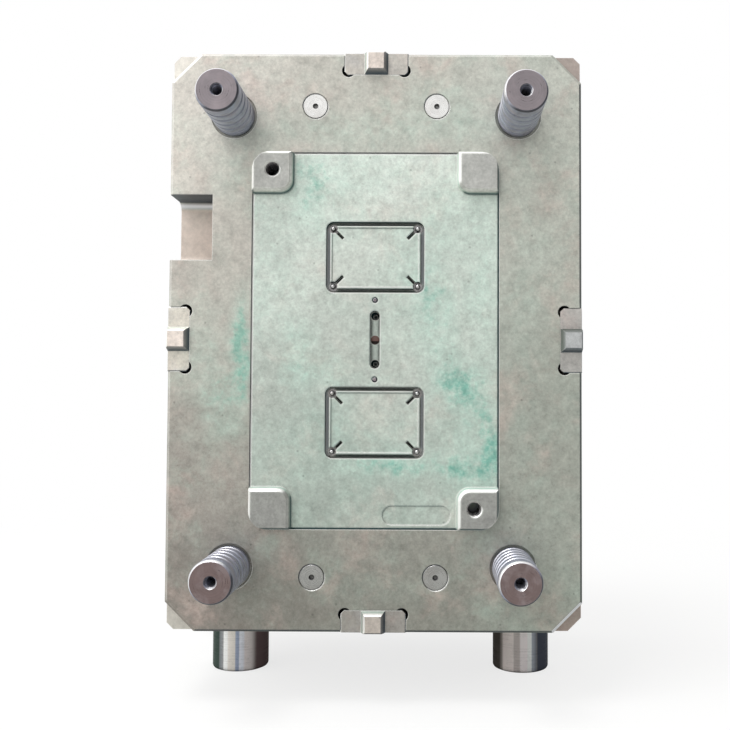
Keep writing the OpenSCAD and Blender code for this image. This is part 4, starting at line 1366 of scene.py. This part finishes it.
@dataclass
class ReturnSprings(Fitting):
    """The four flat-wire die springs, which shorten as the ejector set comes forward."""

    node: str = "return_springs"
    joint: str = "ejector_stroke"
    wire: float = 4.0
    flat: float = 3.0
    turns: float = 7.0
    end_turns: float = 1.5
    edge: float = 0.6
    steps: int = 36
    fixed_y: float = -32.0
    stroke: float = 30.0
    room: float = 78.0

    def section(self, radius: float) -> list[tuple[float, float]]:
        """Rounded section of the wire.

        Args:
            radius: outer radius of the spring.

        Returns:
            (distance from the axis, distance along it) pairs.
        """
        e, inner = self.edge, radius - self.wire
        centres = [(radius - e, self.flat - e, 0), (inner + e, self.flat - e, 90),
                   (inner + e, e, 180), (radius - e, e, 270)]
        return [(x + e * math.cos(math.radians(a + b)), y + e * math.sin(math.radians(a + b)))
                for x, y, a in centres for b in (0, 45, 90)]

    def coil(self, bm: bmesh.types.BMesh, spring: Solid) -> None:
        """Winds one spring in the place of its CAD solid.

        Args:
            bm: mesh that takes it.
            spring: the CAD solid's box.
        """
        pitch = (spring.size.y - self.flat - self.wire * self.end_turns) / self.turns
        start = Vector((spring.centre.x, spring.low.y, spring.centre.z))
        section = self.section(spring.size.x / 2)
        wire = bm.faces.new([bm.verts.new(start + MM * Vector((x, y, 0))) for x, y in section])
        last = [wire, *wire.edges, *wire.verts]
        half = self.end_turns / 2
        for turns, rise in ((half, self.wire), (self.turns, pitch), (half, self.wire)):
            last = bmesh.ops.spin(
                bm, geom=last, cent=start, axis=(0, 1, 0), dvec=(0, rise * MM / self.steps, 0),
                angle=math.tau * turns, steps=round(turns * self.steps))["geom_last"]

    def build(self) -> None:
        """Makes the springs, on a mesh of their own."""
        bm = bmesh.new()
        for spring in self.solids(self.node):
            self.coil(bm, spring)
        bmesh.ops.recalc_face_normals(bm, faces=bm.faces)
        obj = self.make("return_springs_wound", bm, Slot.SPRING, Body.HALF, self.node)
        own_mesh(obj)


@dataclass(frozen=True)
class TappedHole:
    """A tapped hole of the frame and the thread that lines it.

    Args:
        place: middle of the thread's mouth in mm, in the mould's own axes.
        axis: direction into the hole.
        thread: the thread.
        body: body that the hole is in.
    """

    place: tuple[float, float, float]
    axis: Axis
    thread: Thread
    body: Body


@dataclass
class TappedHoles(Fitting):
    """Threads in the lifting holes, the heels, the water ports and the knock-out hole."""

    holes: tuple[TappedHole, ...] = (
        TappedHole((-62, -5.25, 102.5), Axis.REAR, Thread(8.5, 1.5, 22.5), Body.HALF),
        TappedHole((60, -5.25, -101), Axis.REAR, Thread(8.5, 1.5, 22.5), Body.HALF),
        TappedHole((0, 46, 174.5), Axis.DOWN, Thread(14, 2.0, 28), Body.HALF),
        TappedHole((0, 46, -174.5), Axis.UP, Thread(14, 2.0, 28), Body.HALF),
        TappedHole((-60, 50, -174.5), Axis.UP, Thread(11.8, 1.34, 12.5), Body.HALF),
        TappedHole((60, 50, -174.5), Axis.UP, Thread(11.8, 1.34, 12.5), Body.HALF),
        TappedHole((0, 144.5, 0), Axis.FRONT, Thread(14, 2.0, 12), Body.EJECTOR),
    )

    def build(self) -> None:
        """Makes one piece for each body's threads."""
        for body in Body:
            bm = bmesh.new()
            for hole in self.holes:
                if hole.body is body:
                    x, y, z = hole.place
                    mouth = Vector((x, y + FACE_Y, z + CENTRE_Z)) * MM
                    hole.thread.lining().into(bm, mouth, hole.axis)
            self.make("threads_" + body.value, bm, Slot.BRIGHT, body)


@dataclass
class Studio:
    """Plain studio: pale floor, white surround, soft lamps and the photograph's camera.

    Args:
        frame_px: side of the square picture that the focal length is given for.
        focal_px: focal length in pixels of that picture.
        centre_px: where the optical axis meets that picture, from its left and top.
        eye: camera's place in mm, in the frame's axes.
        turn: camera's turn in degrees about X, Y and Z.
    """

    frame_px: float = 730.0
    focal_px: float = 900.0
    centre_px: tuple[float, float] = (425.4, 366.1)
    eye: tuple[float, float, float] = (32.4, -606.2, 184.1)
    turn: tuple[float, float, float] = (92.122, -0.24, 0.178)

    def camera(self) -> None:
        """Makes the camera at the photograph's viewing angle."""
        data = bpy.data.cameras.new("camera")
        data.sensor_width = 36.0
        data.lens = data.sensor_width * self.focal_px / self.frame_px
        data.shift_x = (self.frame_px / 2 - self.centre_px[0]) / self.frame_px
        data.shift_y = (self.centre_px[1] - self.frame_px / 2) / self.frame_px
        data.clip_start, data.clip_end = 0.02, 30.0
        camera = placed("camera", data)
        camera.location = Vector(self.eye) * MM
        camera.rotation_euler = [math.radians(a) for a in self.turn]
        bpy.context.scene.camera = camera

    def world(self) -> None:
        """Surround that is white to the camera and lights the mould from above and the left."""
        world = bpy.data.worlds.new("surround")
        world.use_nodes = True
        bpy.context.scene.world = world
        tree = world.node_tree
        tree.nodes.clear()
        way = add(tree, "ShaderNodeTexCoord").outputs["Generated"]
        x, y, z = add(tree, "ShaderNodeSeparateXYZ", {0: way}).outputs
        wiring = Wiring(tree)
        height = wiring.span(z, -0.4, 0.4, 0.46, 1.06, True)
        left = wiring.span(x, -0.95, 0.1, 1.4, 0.88, True)
        right = wiring.span(x, 0.2, 0.8, 1.0, 0.3, True)
        rear = wiring.span(y, -0.1, 0.5, 0.0, 1.0, True)
        front = wiring.times(left, right)
        side = add(tree, "ShaderNodeMix", {0: rear, 2: front, 3: 0.7}).outputs[0]
        level = wiring.times(height, side)
        seen = add(tree, "ShaderNodeLightPath").outputs["Is Camera Ray"]
        strength = add(tree, "ShaderNodeMix", {0: seen, 2: level, 3: 1.0}).outputs[0]
        light = add(tree, "ShaderNodeBackground", {"Color": (1, 1, 1, 1), "Strength": strength})
        end = add(tree, "ShaderNodeOutputWorld", {"Surface": light.outputs[0]})
        end.is_active_output = True

    def floor(self) -> None:
        """Pale floor that keeps the mould's shadow and melts into the white surround."""
        bm = bmesh.new()
        bmesh.ops.create_grid(bm, x_segments=1, y_segments=1, size=8.0)
        mesh = bpy.data.meshes.new("floor")
        bm.to_mesh(mesh)
        bm.free()
        material = bpy.data.materials.new("pale_floor")
        material.use_nodes = True
        tree = material.node_tree
        tree.nodes.clear()
        coords = add(tree, "ShaderNodeTexCoord").outputs["Object"]
        away = add(tree, "ShaderNodeVectorMath", {0: coords}, operation="LENGTH").outputs["Value"]
        white = Wiring(tree).span(away, 0.25, 0.9, 0.76, 1.0)
        paint = add(tree, "ShaderNodeBsdfDiffuse", {"Color": linear("#F6F6F4")})
        glow = add(tree, "ShaderNodeEmission", {"Color": (1, 1, 1, 1), "Strength": 1.0})
        pale = add(tree, "ShaderNodeMixShader", {0: white, 1: paint.outputs[0], 2: glow.outputs[0]})
        grey = add(tree, "ShaderNodeBsdfDiffuse", {"Color": linear("#CACCC7")})
        seen = add(tree, "ShaderNodeLightPath").outputs["Is Camera Ray"]
        both = add(tree, "ShaderNodeMixShader", {0: seen, 1: grey.outputs[0], 2: pale.outputs[0]})
        add(tree, "ShaderNodeOutputMaterial", {"Surface": both.outputs[0]})
        mesh.materials.append(material)
        placed("floor", mesh)

    def lamp(self, name: str, place: tuple[float, float, float], aim: tuple[float, float, float],
             size: float, power: float) -> None:
        """Adds one soft square lamp.

        Args:
            name: its name.
            place: where it stands, in metres.
            aim: the point that it faces, in metres.
            size: length of its side in metres.
            power: its power in watts.
        """
        data = bpy.data.lights.new(name, "AREA")
        data.size = size
        data.energy = power
        lamp = placed(name, data)
        lamp.location = place
        lamp.rotation_euler = (Vector(aim) - Vector(place)).to_track_quat("-Z", "Y").to_euler()

    def build(self) -> None:
        """Sets up the whole studio."""
        self.camera()
        self.world()
        self.floor()
        self.lamp("top_lamp", (-0.5, -0.6, 1.7), (0, 0, 0.3), 0.7, 14.0)
        self.lamp("left_lamp", (-1.5, -1.0, 0.9), (0, 0, 0.25), 1.3, 7.0)
        bpy.context.scene.view_settings.view_transform = "Standard"


def main() -> None:
    """Loads the frame, dresses it and builds the studio."""
    logging.basicConfig(level=logging.INFO, format="%(message)s")
    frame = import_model()
    finishes = Finishes().build()
    finishes.dress_nodes(frame)
    for fitting in (GuidePins, ReturnPins, SocketScrews, SetScrews, ReturnSprings, TappedHoles,
                    Feet):
        fitting(frame, finishes).build()
    Studio().build()
    bpy.context.view_layer.update()


if __name__ == "__main__":
    main()
